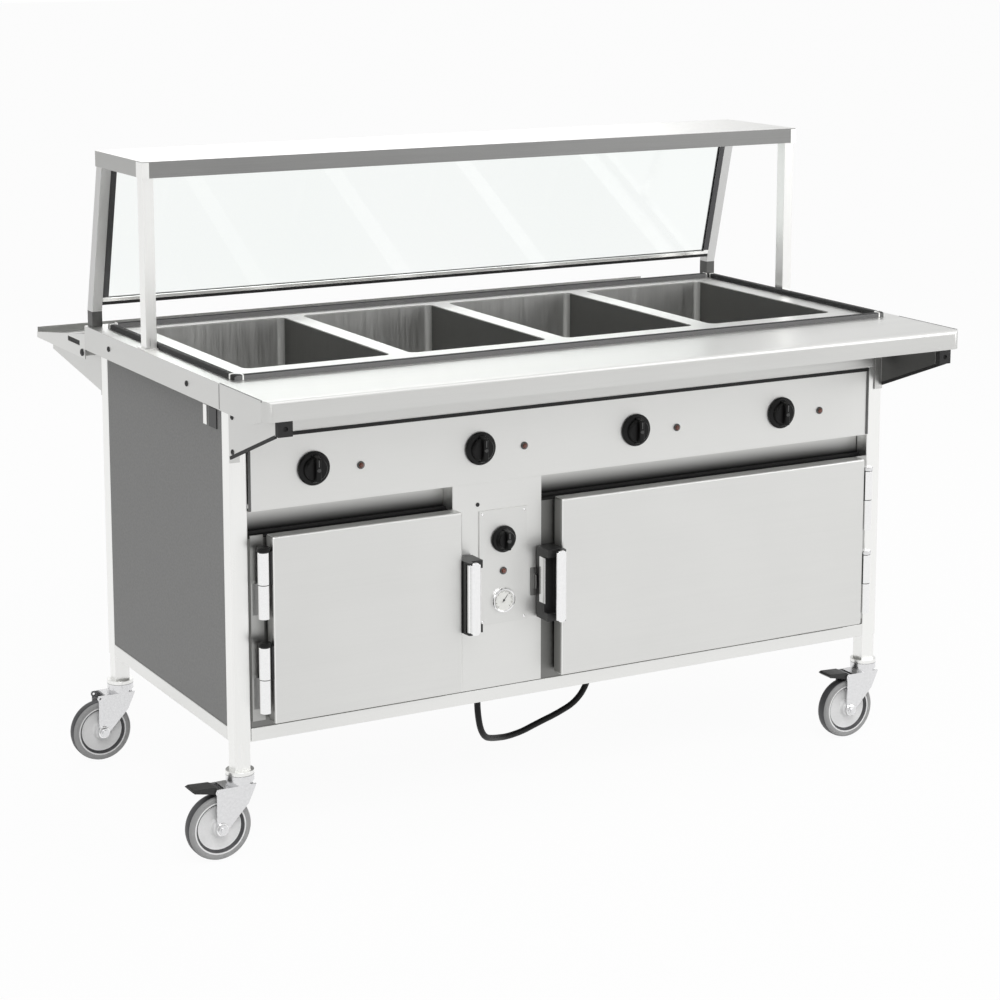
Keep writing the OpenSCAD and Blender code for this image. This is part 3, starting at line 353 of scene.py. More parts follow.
# A turned shape: a profile of radius and height spun about an axis through a place
def turnedMesh(profile, place, axis, steps=48):
    mesh = bmesh.new()
    points = [mesh.verts.new((r, 0, h)) for r, h in profile]
    edges = [mesh.edges.new((a, b)) for a, b in zip(points, points[1:])]
    bmesh.ops.spin(mesh, geom=points + edges, cent=(0, 0, 0), axis=(0, 0, 1), dvec=(0, 0, 0),
                   angle=2 * math.pi, steps=steps, use_merge=True, use_duplicate=False)
    bmesh.ops.remove_doubles(mesh, verts=mesh.verts, dist=0.000005)
    bmesh.ops.recalc_face_normals(mesh, faces=mesh.faces)
    turn = Vector((0, 0, 1)).rotation_difference(Vector(axis)).to_matrix()
    bmesh.ops.rotate(mesh, cent=(0, 0, 0), matrix=turn, verts=mesh.verts)
    bmesh.ops.translate(mesh, vec=place, verts=mesh.verts)
    return mesh


# A block between two corners, its edges rounded if it has an ease
def blockMesh(low, high, ease=0.0, segments=2):
    mesh = bmesh.new()
    low, high = Vector(low), Vector(high)
    made = bmesh.ops.create_cube(mesh, size=1.0)
    bmesh.ops.scale(mesh, vec=high - low, verts=made["verts"])
    bmesh.ops.translate(mesh, vec=(low + high) / 2, verts=made["verts"])
    if ease:
        bmesh.ops.bevel(mesh, geom=mesh.edges, offset=ease, offset_type="OFFSET", segments=segments,
                        profile=0.5, affect="EDGES", material=-1)
    return mesh


# A block over ranges of x, y and z from the counter's middle, where x may run either way
def spanBlock(xs, ys, zs, ease):
    (x0, x1), (y0, y1), (z0, z1) = sorted(xs), ys, zs
    return blockMesh(spot(x0, y0, z0), spot(x1, y1, z1), ease)


# Adds one mesh to another, with a material number for its faces
def addMesh(target, extra, material=0):
    for face in extra.faces:
        face.material_index = material
    kept = bpy.data.meshes.new("kept")
    extra.to_mesh(kept)
    extra.free()
    target.from_mesh(kept)
    bpy.data.meshes.remove(kept)
    return target


# Low pan-head screws with a sunk middle, each at a place with the way its head points and its size: the
# crown's line is in shares of the head's radius and rise
screw = {"head": 0.0052, "rise": 0.0024, "socket": 0.0020, "sink": 0.0012, "steps": 18,
         "crown": ((0.0, 0.0), (1.0, 0.0), (1.0, 0.35), (0.86, 0.78), (0.55, 1.0)), "socketFoot": 0.95}


def makeScrews(name, places, body, finish):
    mesh = bmesh.new()
    for place, axis, size in places:
        r, h = screw["head"] * size, screw["rise"] * size
        s, floor = screw["socket"] * size, h - screw["sink"] * size
        crown = [(r * across, h * up) for across, up in screw["crown"]]
        socket = [(s, h), (s * screw["socketFoot"], floor), (0.0, floor)]
        addMesh(mesh, turnedMesh(crown + socket, place, axis, screw["steps"]))
    finishPiece(name, mesh, finish, body, sharp=40)


# The cord first: its middle line in metres from the counter's middle, between its two glands
cordLine = [
    (-0.166, -0.220, 0.222), (-0.166, -0.220, 0.202), (-0.166, -0.220, 0.182), (-0.165, -0.220, 0.162),
    (-0.162, -0.219, 0.142), (-0.156, -0.215, 0.123), (-0.146, -0.207, 0.107), (-0.132, -0.194, 0.094),
    (-0.115, -0.177, 0.084), (-0.097, -0.158, 0.075), (-0.079, -0.140, 0.067), (-0.060, -0.124, 0.060),
    (-0.040, -0.112, 0.055), (-0.018, -0.105, 0.054), (0.006, -0.102, 0.057), (0.031, -0.101, 0.064),
    (0.056, -0.100, 0.071), (0.080, -0.100, 0.078), (0.103, -0.100, 0.086), (0.124, -0.100, 0.095),
    (0.142, -0.100, 0.108), (0.156, -0.100, 0.125), (0.165, -0.100, 0.145), (0.169, -0.100, 0.166),
    (0.170, -0.100, 0.188), (0.170, -0.100, 0.205), (0.170, -0.100, 0.222)]
cordSizes = {"across": 0.013, "length": 0.5895}


def makeCord():
    line = bpy.data.curves.new("mainsCord", "CURVE")
    line.dimensions = "3D"
    line.bevel_depth = cordSizes["across"] / 2
    line.bevel_resolution = 5
    line.use_fill_caps = True
    run = line.splines.new("BEZIER")
    run.bezier_points.add(len(cordLine) - 1)
    for knot, place in zip(run.bezier_points, cordLine):
        knot.co = spot(*place)
        knot.handle_left_type = knot.handle_right_type = "AUTO"
    line.materials.append(cordRubber)
    made = addObject("mainsCord", line)
    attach(made, "cabinet")
    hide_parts("cord")


makeCord()
print("cord made")

# Folded sheets and tubes: how far each one's edges are eased
easing = {"corner_posts": 0.0008, "bottom_rails": 0.0012, "base_floor": 0.0005, "end_panels": 0.0006,
          "rear_panel": 0.0006, "centre_column": 0.0009, "left_compartment": 0.0006,
          "right_compartment": 0.0006, "rack_shelves": 0.0008, "door_header": 0.0008,
          "control_panel": 0.0009, "front_rail": 0.0009, "control_plate": 0.0007,
          "front_uprights": 0.0010, "guard_glass": 0.0012, "latch_strikes": 0.0010,
          "cord_glands": 0.0010, "caster_legs": 0.0008}
for node, width in easing.items():
    easedNode(node, width)


# A CAD node again with eased edges and other finishes on the faces that a test picks out by their normal
# and their middle: the test gives 0 for the first finish, 1 and 2 for the others
def manyToneNode(node, title, width, first, second, pick, cuts=()):
    finishPiece(title, wholeMesh(node, pick, cuts), first, nodeBody[node], [node], bevel=width, second=second)


def upright(normal, place):
    return 1 if abs(normal.z) < 0.5 else 0


def endwise(normal, place):
    return 1 if abs(normal.x) > 0.9 else 0


def facingInwards(normal, place):
    return 1 if abs(normal.x) > 0.9 and normal.x * place.x < 0 else 0


# Brackets: satin outside, painted shade on the sides that face each other
for node in ("front_brackets", "rear_brackets"):
    manyToneNode(node, titleOf(node), 0.0008, lipPaintedShadeSteel, (paintedShadeSteel,), facingInwards)
manyToneNode("tray_slide", "traySlide", 0.0006, slidePaintedShadeSteel, (panelSteel,), endwise)
# Front shelf: its upright faces in the darker lip steel as painted shade
manyToneNode("front_shelf", "frontShelf", 0.0007, deckSteel, (lipPaintedShadeSteel,), upright)

# Rear uprights: painted shade on the foot where each stands behind the top's rim
rearPost = {"foot": 0.946, "ease": 0.0010}
manyToneNode("rear_uprights", "rearUprights", rearPost["ease"], rearSteel, (paintedShadeSteel,),
             lambda normal, place: 1 if place.z < rearPost["foot"] else 0, cuts=(rearPost["foot"],))

# Channels round the glass: dark foot of the lower one, light anodised lip above it, grey sides
channel = {"foot": 0.9655, "lip": 0.9745}
manyToneNode("glazing_frame", "glazingFrame", 0.0005, channelMetal, (blackRubberAndPaintedShade, frameSteelAndPaintedHighlight),
             lambda normal, place: 1 if place.z < channel["foot"] else 2 if place.z < channel["lip"] else 0,
             cuts=(channel["foot"], channel["lip"]))

# Wells: dull drawn walls with painted shade on the side away from the light, under a flange as bright as the
# top
wellForm = {"flange": 0.86, "ease": 0.0006}


def wellFlangeAndPaintedShade(normal, place):
    if abs(normal.z) > 0.9 and place.z > wellForm["flange"]:
        return 1
    return 2 if normal.x < -0.9 else 0


for i in wells:
    manyToneNode(f"well_{i}", f"well{i}", wellForm["ease"], wellSteel, (deckSteel, wellPaintedShade), wellFlangeAndPaintedShade)

# Top: outer folds of the sheet with the press brake's radius
deck = {"fold": 0.0018}
# Its upright faces in the darker lip steel as painted shade
manyToneNode("top_deck", "topDeck", deck["fold"], deckSteel, (lipPaintedShadeSteel,), upright)

# Sealant lines: along both ends of the shelf's top, and down the joint of top and shelf on the left
seam = {"wide": 0.0024, "rise": 0.0004, "deep": 0.0030, "end": 0.7688, "reach": (-0.5460, -0.3570),
        "joint": (-0.3568, -0.3552), "jointX": (-0.7694, -0.7680), "jointZ": (0.866, 0.912), "ease": 0.0002}


def makeSeams():
    mesh = bmesh.new()
    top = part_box("front_shelf")[1].z
    zs = (top - seam["deep"], top + seam["rise"])
    for s in (-1, 1):
        xs = (s * seam["end"], s * (seam["end"] - seam["wide"]))
        addMesh(mesh, spanBlock(xs, seam["reach"], zs, seam["ease"]))
    addMesh(mesh, spanBlock(seam["jointX"], seam["joint"], seam["jointZ"], seam["ease"]))
    finishPiece("shelfSeams", mesh, greyRubberAndPaintedLight, "cabinet")


makeSeams()

# Seal round the wells: a half-round rubber bead that stands on the deck, with a painted highlight in grey on
# its front
seal = {"round": 0.0042, "wide": 0.014, "clip": 0.003, "corner": 0.017, "lift": 0.0003, "ease": 0.0005}


def makeRimSeal():
    mesh = wholeMesh("rim_seal")
    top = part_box("rim_seal")[1].z
    crown = [e for e in mesh.edges if len(e.link_faces) == 2 and e.calc_face_angle(0) > 0.8
             and all(v.co.z > top - 0.0001 for v in e.verts)]
    bmesh.ops.bevel(mesh, geom=crown, offset=seal["round"], offset_type="OFFSET", segments=4, profile=0.5,
                    affect="EDGES", material=-1, clamp_overlap=True)
    for face in mesh.faces:
        face.material_index = 1 if face.normal.y < -0.7 else 0
    finishPiece("rimSeal", mesh, blackRubberAndPaintedShade, "cabinet", ["rim_seal"], sharp=40, second=(greyRubberAndPaintedLight,))


makeRimSeal()


# Bright clips at the seal's corners, one across each run
def makeSealClips():
    low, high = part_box("rim_seal")
    wide, lift, ease, far, mesh = seal["wide"], seal["lift"], seal["ease"], seal["corner"], bmesh.new()
    for sx, x in ((1, low.x), (-1, high.x)):
        for sy, y in ((1, low.y), (-1, high.y)):
            x0, x1 = sorted((x + sx * far, x + sx * (far + seal["clip"])))
            y0, y1 = sorted((y - sy * lift, y + sy * (wide + lift)))
            addMesh(mesh, blockMesh((x0, y0, low.z + ease), (x1, y1, high.z + lift), ease))
            y0, y1 = sorted((y + sy * far, y + sy * (far + 2 * seal["clip"])))
            x0, x1 = sorted((x - sx * lift, x + sx * (wide + lift)))
            addMesh(mesh, blockMesh((x0, y0, low.z + ease), (x1, y1, high.z + lift), ease))
    finishPiece("sealClips", mesh, frameSteelAndPaintedHighlight, "cabinet")


makeSealClips()

# Overshelf: bright pan with painted shade on its front hem and other upright faces, and bright corner caps
# where the posts meet it
shelfPan = {"fold": 0.0014, "capFront": 0.013, "capSide": 0.034, "capThick": 0.0006, "capFoot": 0.0004,
            "capHead": 0.0016, "hemBefore": 0.02}


def hemPaintedShade(normal, place):
    if normal.y < -0.5 and place.y < shelfPan["hemBefore"]:
        return 1
    return 2 * upright(normal, place)


manyToneNode("overshelf", "overshelfPan", shelfPan["fold"], deckSteel, (paintedShadeEdgeSteel, slidePaintedShadeSteel), hemPaintedShade)


def makeShelfCorners():
    low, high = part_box("overshelf")
    t, mesh = shelfPan["capThick"], bmesh.new()
    foot, head = low.z - shelfPan["capFoot"], high.z - shelfPan["capHead"]
    for x, way in ((low.x, 1), (high.x, -1)):
        x0, x1 = sorted((x - way * t, x + way * shelfPan["capFront"]))
        addMesh(mesh, blockMesh((x0, low.y - t, foot), (x1, low.y, head)))
        x0, x1 = sorted((x - way * t, x))
        addMesh(mesh, blockMesh((x0, low.y, foot), (x1, low.y + shelfPan["capSide"], head)))
    finishPiece("shelfCornerCaps", mesh, frameSteelAndPaintedHighlight, "cabinet")


makeShelfCorners()
print("frame, top and shelves made")

# Doors: pan with rounded edges, pressed inner sheet and a gasket
doorForm = {"round": 0.0045, "gasket": 0.006, "inset": 0.005, "seal": 0.008, "pressIn": 0.045,
            "pressSlope": 0.006, "pressDeep": 0.004, "overlap": 0.0005, "proud": 0.0003, "sealRound": 0.0025}


def makeDoor(node):
    low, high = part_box(node)
    back = high.y - doorForm["gasket"]
    mesh = blockMesh(low, (high.x, back, high.z), doorForm["round"], 4)
    inner = [max((f for f in mesh.faces if f.normal.y > 0.99), key=lambda f: f.calc_area())]
    bmesh.ops.inset_region(mesh, faces=inner, thickness=doorForm["pressIn"])
    bmesh.ops.inset_region(mesh, faces=inner, thickness=doorForm["pressSlope"], depth=-doorForm["pressDeep"])
    # Door sides in the darker slide steel as painted shade, rounded edges in the bright tube steel as a
    # painted highlight
    for face in mesh.faces:
        if abs(face.normal.x) > 0.8:
            face.material_index = 1
        elif abs(face.normal.x) > 0.3:
            face.material_index = 2
    finishPiece(titleOf(node, "Pan"), mesh, doorSteel, node, [node], sharp=28,
                second=(slidePaintedShadeSteel, frameSteelAndPaintedHighlight))
    ring = bmesh.new()
    edge, y = doorForm["inset"], back - doorForm["overlap"]
    corners = [ring.verts.new((x, y, z)) for x, z in
               ((low.x + edge, low.z + edge), (high.x - edge, low.z + edge),
                (high.x - edge, high.z - edge), (low.x + edge, high.z - edge))]
    field = ring.faces.new(corners)
    bmesh.ops.inset_region(ring, faces=[field], thickness=doorForm["seal"], use_boundary=True,
                           use_even_offset=True)
    bmesh.ops.delete(ring, geom=[field], context="FACES")
    grown = bmesh.ops.extrude_face_region(ring, geom=ring.faces[:])
    moved = [v for v in grown["geom"] if isinstance(v, bmesh.types.BMVert)]
    bmesh.ops.translate(ring, vec=(0, doorForm["gasket"] + doorForm["proud"], 0), verts=moved)
    bmesh.ops.recalc_face_normals(ring, faces=ring.faces)
    finishPiece(titleOf(node, "Gasket"), ring, blackRubberAndPaintedShade, node,
                bevel=doorForm["sealRound"])


makeDoor("left_door")
makeDoor("right_door")

# Hinges: lower barrel, pin and leaf on the frame's strip, upper barrel with the latch case on the door
hinge = {"ease": 0.0012, "frameEase": 0.0010, "strip": -0.3381, "leafArea": 0.0004}
easedNode("left_door_hardware", hinge["ease"])
easedNode("right_door_hardware", hinge["ease"])


def makeFrameHinges():
    mesh = wholeMesh("frame_hinges")
    stripFront = spot(0, hinge["strip"], 0).y
    # Strip behind the hinges in the darker slide steel and the leaves' large fronts in the darker edge steel,
    # both as painted shade
    for face in mesh.faces:
        if all(v.co.y > stripFront for v in face.verts):
            face.material_index = 1
        elif face.normal.y < -0.99 and face.calc_area() > hinge["leafArea"]:
            face.material_index = 2
    finishPiece("frameHinges", mesh, chrome, "cabinet", ["frame_hinges"], bevel=hinge["frameEase"],
                second=(slidePaintedShadeSteel, paintedShadeEdgeSteel))


makeFrameHinges()

# Chrome sleeves over the upper barrels, so that each hinge is one bright barrel under its pin's head
hingeSleeve = {"across": 0.0226, "bore": 0.0110, "foot": (0.284, 0.465), "long": 0.128, "x": 0.690,
               "y": -0.3623, "gap": 0.0008, "round": 0.0015, "crown": 0.0004, "head": 0.008, "brim": 0.0012,
               "steps": 40}


def makeHingeSleeves(side, body, headFinish):
    mesh = bmesh.new()
    r, bore, gap = hingeSleeve["across"] / 2, hingeSleeve["bore"] / 2, hingeSleeve["gap"]
    curve, brim, head = hingeSleeve["round"], hingeSleeve["brim"], hingeSleeve["head"]
    half = hingeSleeve["long"] / 2
    rise = half - brim
    for foot in hingeSleeve["foot"]:
        place = spot(side * hingeSleeve["x"], hingeSleeve["y"], foot + half + gap)
        sleeve = [(bore, 0.0), (r - gap, 0.0), (r, gap), (r, rise - curve), (r - curve, rise),
                  (0.0, rise + hingeSleeve["crown"])]
        cap = [(0.0, rise), (r, rise), (r + brim, rise + brim), (r + brim, rise + head - brim),
               (r, rise + head), (0.0, rise + head)]
        addMesh(mesh, turnedMesh(sleeve, place, (0, 0, 1), hingeSleeve["steps"]))
        addMesh(mesh, turnedMesh(cap, place, (0, 0, 1), hingeSleeve["steps"]), 1)
    finishPiece("hingeSleeve" + ("Right" if side > 0 else "Left"), mesh, chrome, body,
                second=(headFinish,))


makeHingeSleeves(-1, "left_door", blackPlastic)
makeHingeSleeves(1, "right_door", zinc)

# Latch levers: an upright chromed bar with rounded ends and a rolled grip, on a barrel between two ears
lever = {"thick": 0.0040, "ease": 0.0012, "barrel": 0.0057, "bore": 0.0031, "ear": 0.0044, "grip": 0.0035,
         "round": 0.006, "over": 0.001, "web": 0.0025, "pinX": {-1: -0.273, 1: -0.067}, "pinY": -0.390}


def makeLever(node):
    low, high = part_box(node)
    toPin = 1 if node == "right_handle" else -1
    pin = spot(lever["pinX"][toPin], lever["pinY"], 0)
    grip, over, ear = lever["grip"], lever["over"], lever["ear"]
    gripX = (low.x if toPin > 0 else high.x) + toPin * grip
    near, far = sorted((gripX, pin.x + toPin * over))
    bar = blockMesh((near, low.y, low.z), (far, low.y + lever["thick"], high.z))
    corners = [e for e in bar.edges if abs((e.verts[0].co - e.verts[1].co).normalized().y) > 0.99]
    bmesh.ops.bevel(bar, geom=corners, offset=lever["round"], offset_type="OFFSET", segments=6, profile=0.5,
                    affect="EDGES", material=-1)
    mesh = bmesh.new()
    addMesh(mesh, bar)
    tall, bore, r = high.z - low.z, lever["bore"], lever["barrel"]
    rod, sleeve = tall - 2 * lever["round"] + 4 * over, tall - 2 * ear
    addMesh(mesh, turnedMesh([(0.0, 0.0), (grip - over, 0.0), (grip, over), (grip, rod - over),
                              (grip - over, rod), (0.0, rod)],
                             (gripX, low.y + grip, low.z + lever["round"] - 2 * over), (0, 0, 1), 24))
    addMesh(mesh, turnedMesh([(bore, 0.0), (r - over, 0.0), (r, over), (r, sleeve - over), (r - over, sleeve),
                              (bore, sleeve)], (pin.x, pin.y, low.z + ear), (0, 0, 1), 32))
    web = lever["web"]
    addMesh(mesh, blockMesh((pin.x - web, low.y + over, low.z + ear),
                            (pin.x + web, pin.y - web - over, high.z - ear)))
    finishPiece("leverLeft" if toPin < 0 else "leverRight", mesh, chrome, node, [node], bevel=lever["ease"])


makeLever("left_handle")
makeLever("right_handle")

# Bright plate let into the side of each latch case
latchPlate = {"z": (0.414, 0.506), "y": (-0.375, -0.353), "thick": 0.0012, "ease": 0.0005,
              "x": {-1: -0.242, 1: -0.098}}


def makeLatchPlate(side, body):
    face = latchPlate["x"][side]
    mesh = spanBlock((face, face - side * latchPlate["thick"]), latchPlate["y"], latchPlate["z"],
                     latchPlate["ease"])
    finishPiece("latchPlate" + ("Right" if side > 0 else "Left"), mesh, chrome, body)


makeLatchPlate(1, "right_door")
makeLatchPlate(-1, "left_door")
print("doors, hinges and latches made")

# Front faces of the control panel and of the plate on the column, from the counter's middle
panelFront = -0.337
plateFront = -0.339

# Knobs: skirt and hub in shares of the radius and metres of rise, a tapered grip bar in shares of the
# width, a grey pointer line and a grey centre cap
knobForm = {"well": 0.065, "thermostat": 0.053,
            "skirt": ((0.0, 0.0015), (0.55, 0.0015), (1.0, 0.0013), (1.0, 0.0040), (0.94, 0.0062),
                      (0.74, 0.0080), (0.70, 0.0150), (0.62, 0.0175), (0.0, 0.0180)),
            "barWide": 0.115, "barTall": 0.42, "barFoot": 0.006, "barTaper": (0.62, 0.80), "barRound": 0.0022,
            "lineWide": 0.0016, "lineZ": (0.10, 0.30), "lineDeep": 0.0010, "lineRise": 0.00015,
            "cap": ((0.0, -0.0004), (0.00341, -0.0004), (0.00434, 0.0006), (0.00434, 0.0030)),
            "capSink": 0.0002}


def makeKnob(node, title, across, face):
    low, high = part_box(node)
    x, z = (low.x + high.x) / 2, (low.z + high.z) / 2
    front, faceY = low.y, spot(0, face, 0).y
    mesh = turnedMesh([(share * across / 2, rise) for share, rise in knobForm["skirt"]],
                      (x, faceY, z), (0, -1, 0), 72)
    wide, tall = across * knobForm["barWide"], across * knobForm["barTall"]
    bar = blockMesh((x - wide, front, z - tall), (x + wide, faceY - knobForm["barFoot"], z + tall))
    for v in bar.verts:
        if v.co.y < (front + faceY) / 2:
            v.co.x = x + (v.co.x - x) * knobForm["barTaper"][0]
            v.co.z = z + (v.co.z - z) * knobForm["barTaper"][1]
    bmesh.ops.bevel(bar, geom=bar.edges, offset=knobForm["barRound"], offset_type="OFFSET", segments=3,
                    profile=0.5, affect="EDGES", material=-1)
    addMesh(mesh, bar)
    finishPiece(title, mesh, blackPlastic, node, [node])
    half, (foot, tip) = knobForm["lineWide"] / 2, knobForm["lineZ"]
    mark = blockMesh((x - half, front - knobForm["lineRise"], z + across * foot),
                     (x + half, front + knobForm["lineDeep"], z + across * tip))
    finishPiece(title + "Pointer", mark, markGrey, node)
    cap = turnedMesh(knobForm["cap"], (x, front + knobForm["capSink"], z), (0, 1, 0), 24)
    finishPiece(title + "Cap", cap, capGrey, node)


for i in wells:
    makeKnob(f"knob_{i}", f"wellKnob{i}", knobForm["well"], panelFront)
makeKnob("thermostat_knob", "thermostatKnob", knobForm["thermostat"], plateFront)

# Pilot lights: a bezel darkened as painted shade round an amber jewel, one beside each well's knob and one on
# the column
lamp = {"bezel": 0.0075, "jewel": 0.0052, "x": (-0.4775, -0.1245, 0.2285, 0.5815), "z": 0.727,
        "column": (-0.1725, plateFront, 0.483)}


def makePilotLights():
    rings, stones = bmesh.new(), bmesh.new()
    b, j = lamp["bezel"], lamp["jewel"]
    for at in [(x, panelFront, lamp["z"]) for x in lamp["x"]] + [lamp["column"]]:
        place = spot(*at)
        addMesh(rings, turnedMesh([(j, -0.001), (b, -0.001), (b, 0.0018), (b - 0.0009, 0.0030), (j, 0.0030),
                                   (j - 0.0004, 0.001)], place, (0, -1, 0), 32))
        addMesh(stones, turnedMesh([(j, 0.0), (j, 0.0032), (j - 0.0008, 0.0052), (j - 0.0024, 0.0066),
                                    (0, 0.0070)], place, (0, -1, 0), 24))
    finishPiece("pilotBezels", rings, paintedShadeSteel, "cabinet")
    finishPiece("pilotJewels", stones, jewel, "cabinet", ["pilot_lights"])


makePilotLights()

# Dial thermometer: bright case, white dial with plain strokes, each third one longer, and a black pointer.
# The bezel's line runs so far in from the rim and so far out from the plate.
dial = {"r": 0.025, "case": 0.006, "neck": 0.019,
        "bezel": ((0.0042, 0.0030), (0.0042, 0.0055), (0.0030, 0.0060), (0.0012, 0.0056), (0.0, 0.0040),
                  (0.0, 0.0)),
        "strokes": 27, "sweep": 270, "every": 3,
        "long": (0.0034, 0.0007), "short": (0.0018, 0.0004), "ring": 0.0192, "strokeY": (-0.0036, -0.0030),
        "pointer": 0.0155, "tail": 0.005, "pointerWide": 0.0012, "pointerTip": 0.35,
        "pointerY": (-0.0042, -0.0036), "at": 38}


def turnedOnDial(mesh, degrees, place):
    turn = Matrix.Rotation(math.radians(degrees), 3, "Y")
    bmesh.ops.rotate(mesh, cent=(0, 0, 0), matrix=turn, verts=mesh.verts)
    bmesh.ops.translate(mesh, vec=place, verts=mesh.verts)
    return mesh


def makeThermometer():
    low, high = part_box("thermometer")
    x, z = (low.x + high.x) / 2, (low.z + high.z) / 2
    faceY = low.y + dial["case"]
    place = Vector((x, faceY, z))
    r = dial["r"]
    bezel = [(r - inwards, rise) for inwards, rise in dial["bezel"]] + [(dial["neck"], 0.0)]
    case = turnedMesh(bezel, place, (0, -1, 0), 64)
    finishPiece("thermometerCase", case, chrome, "cabinet", ["thermometer"])
    plate = turnedMesh([(0.0, 0.0032), (r - 0.0040, 0.0032), (r - 0.0040, 0.0020)], place, (0, -1, 0), 48)
    finishPiece("thermometerDial", plate, dialWhite, "cabinet")
    marks = bmesh.new()
    for i in range(dial["strokes"] + 1):
        long, wide = dial["short"] if i % dial["every"] else dial["long"]
        turn = -dial["sweep"] / 2 + dial["sweep"] * i / dial["strokes"]
        stroke = blockMesh((-wide / 2, dial["strokeY"][0], dial["ring"] - long),
                           (wide / 2, dial["strokeY"][1], dial["ring"]))
        addMesh(marks, turnedOnDial(stroke, turn, place))
    half, (near, far) = dial["pointerWide"] / 2, dial["pointerY"]
    needle = blockMesh((-half, near, -dial["tail"]), (half, far, dial["pointer"]))
    for v in needle.verts:
        if v.co.z > 0:
            v.co.x *= dial["pointerTip"]
    addMesh(marks, turnedOnDial(needle, dial["at"], place))
    addMesh(marks, turnedMesh([(0.0, 0.0048), (0.0018, 0.0046), (0.0022, 0.0032)], place, (0, -1, 0), 20))
    finishPiece("thermometerMarks", marks, markBlack, "cabinet")


makeThermometer()
print("controls made")

# Wheels: grey tyre on a light core with a raised rim, painted shade in its groove, a dished web and a bearing
# cap
wheelForm = {"r": 0.06348, "tread": 0.030, "rim": 0.0525, "hub": 0.016, "hubWide": 0.018, "axle": 0.0061,
             "groove": (0.0430, 0.0486), "steps": 96, "coreSteps": 72}


# A wheel's half outline, given from its middle plane outwards, with its likeness on the other side
def bothSides(half):
    return [(r, -h) for r, h in reversed(half)] + [(r, h) for r, h in half if h > 0]


def makeWheel(end):
    node = "wheel_" + end
    low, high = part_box(node)
    place = (low + high) / 2
    r, half, rim = wheelForm["r"], wheelForm["tread"] / 2, wheelForm["rim"]
    outside = [(r, 0.0), (r - 0.0001, half - 0.0095), (r - 0.0012, half - 0.0050),
               (r - 0.0042, half - 0.0018), (rim + 0.0045, half - 0.0003), (rim - 0.001, half - 0.0015)]
    tread = turnedMesh(bothSides(outside), place, (0, 1, 0), wheelForm["steps"])
    for face in tread.faces:
        # Tyre walls in the paler grey as painted light
        face.material_index = 1 if abs(face.normal.y) > 0.6 else 0
    title = titleOf("_" + end)
    finishPiece("tread" + title, tread, wheelTreadAndPaintedShade, node, sharp=50, second=(wheelWallPaintedLight,))
    hub, wide, axle = wheelForm["hub"], wheelForm["hubWide"], wheelForm["axle"]
    side = [(rim, half - 0.0016), (rim - 0.004, half - 0.0016), (rim - 0.006, half - 0.003),
            (rim - 0.009, 0.0075), (rim - 0.014, 0.0055), (hub + 0.004, 0.0062), (hub + 0.001, 0.0085),
            (hub, wide - 0.002), (hub - 0.002, wide), (axle, wide)]
    core = turnedMesh(bothSides(side) + [(axle, -wide)], place, (0, 1, 0), wheelForm["coreSteps"])
    for face in core.faces:
        away = face.calc_center_median() - place
        if wheelForm["groove"][0] < math.hypot(away.x, away.z) < wheelForm["groove"][1]:
            face.material_index = 1
    finishPiece("core" + title, core, wheelCore, node, [node], second=(wheelTreadAndPaintedShade,))


# Forks: pressed crown and legs with their ball race, and a bright washer under each end of the axle
forkForm = {"ease": 0.0009, "washer": 0.0125, "thick": 0.0012, "sunk": 0.001, "front": 0.0075, "back": 0.0070}


def makeFork(end):
    node = "fork_" + end
    easedNode(node, forkForm["ease"])
    low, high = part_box("wheel_" + end)
    axle = (low + high) / 2
    low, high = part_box(node)
    w, thick, sunk, mesh = forkForm["washer"], forkForm["thick"], forkForm["sunk"], bmesh.new()
    washer = [(0.0, -sunk), (w, -sunk), (w, thick / 2), (w - thick / 2, thick), (0.0, thick)]
    for way, faceY in ((-1, low.y + forkForm["front"]), (1, high.y - forkForm["back"])):
        addMesh(mesh, turnedMesh(washer, (axle.x, faceY, axle.z), (0, way, 0), 32))
    finishPiece("axleWashers" + titleOf("_" + end), mesh, chrome, node)


for end in casters:
    makeWheel(end)
    makeFork(end)
for side in ("left", "right"):
    easedNode("brake_pedal_" + side, 0.0014)
print("casters made")

easedNode("bracket_bumpers", 0.0022)

# Screws: left skirt, the slide's end, bracket sides, control plate corners and the column
front, left, right = (0, -1, 0), (-1, 0, 0), (1, 0, 0)
screwSpots = {"skirt": ((-0.200, 0.887, 1.1), (0.215, 0.887, 1.1), (0.372, 0.856, 1.5)), "skirtX": -0.769,
              "bracketX": 0.743, "bracketY": -0.352, "bracketZ": (0.848, 0.783),
              "column": (-0.228, 0.621), "plateX": (-0.219, -0.126), "plateZ": (0.385, 0.600)}
frameScrews = [(spot(screwSpots["skirtX"], y, z), left, size) for y, z, size in screwSpots["skirt"]]
for way, x in ((left, -screwSpots["bracketX"]), (right, screwSpots["bracketX"])):
    frameScrews += [(spot(x, screwSpots["bracketY"], z), way, 1.0) for z in screwSpots["bracketZ"]]
frameScrews += [(spot(screwSpots["column"][0], panelFront, screwSpots["column"][1]), front, 0.8)]
makeScrews("frameScrews", frameScrews, "cabinet", blackPaint)
makeScrews("plateScrews", [(spot(x, plateFront, z), front, 0.5) for x in screwSpots["plateX"]
                           for z in screwSpots["plateZ"]], "cabinet", chrome)

# Spring catch of each end sheet, and dark liners behind the hand slots of the tray slide as painted shade
# inside the slots
catch = {"sheetX": 0.742, "y": (-0.280, -0.243), "z": (0.812, 0.850), "tongue": (-0.232, -0.216),
         "thick": 0.0022, "ease": 0.0008}
slotLiner = {"y": (0.386, 0.462), "z": (0.866, 0.880), "thick": 0.0010, "x": 0.7674, "ease": 0.0003}


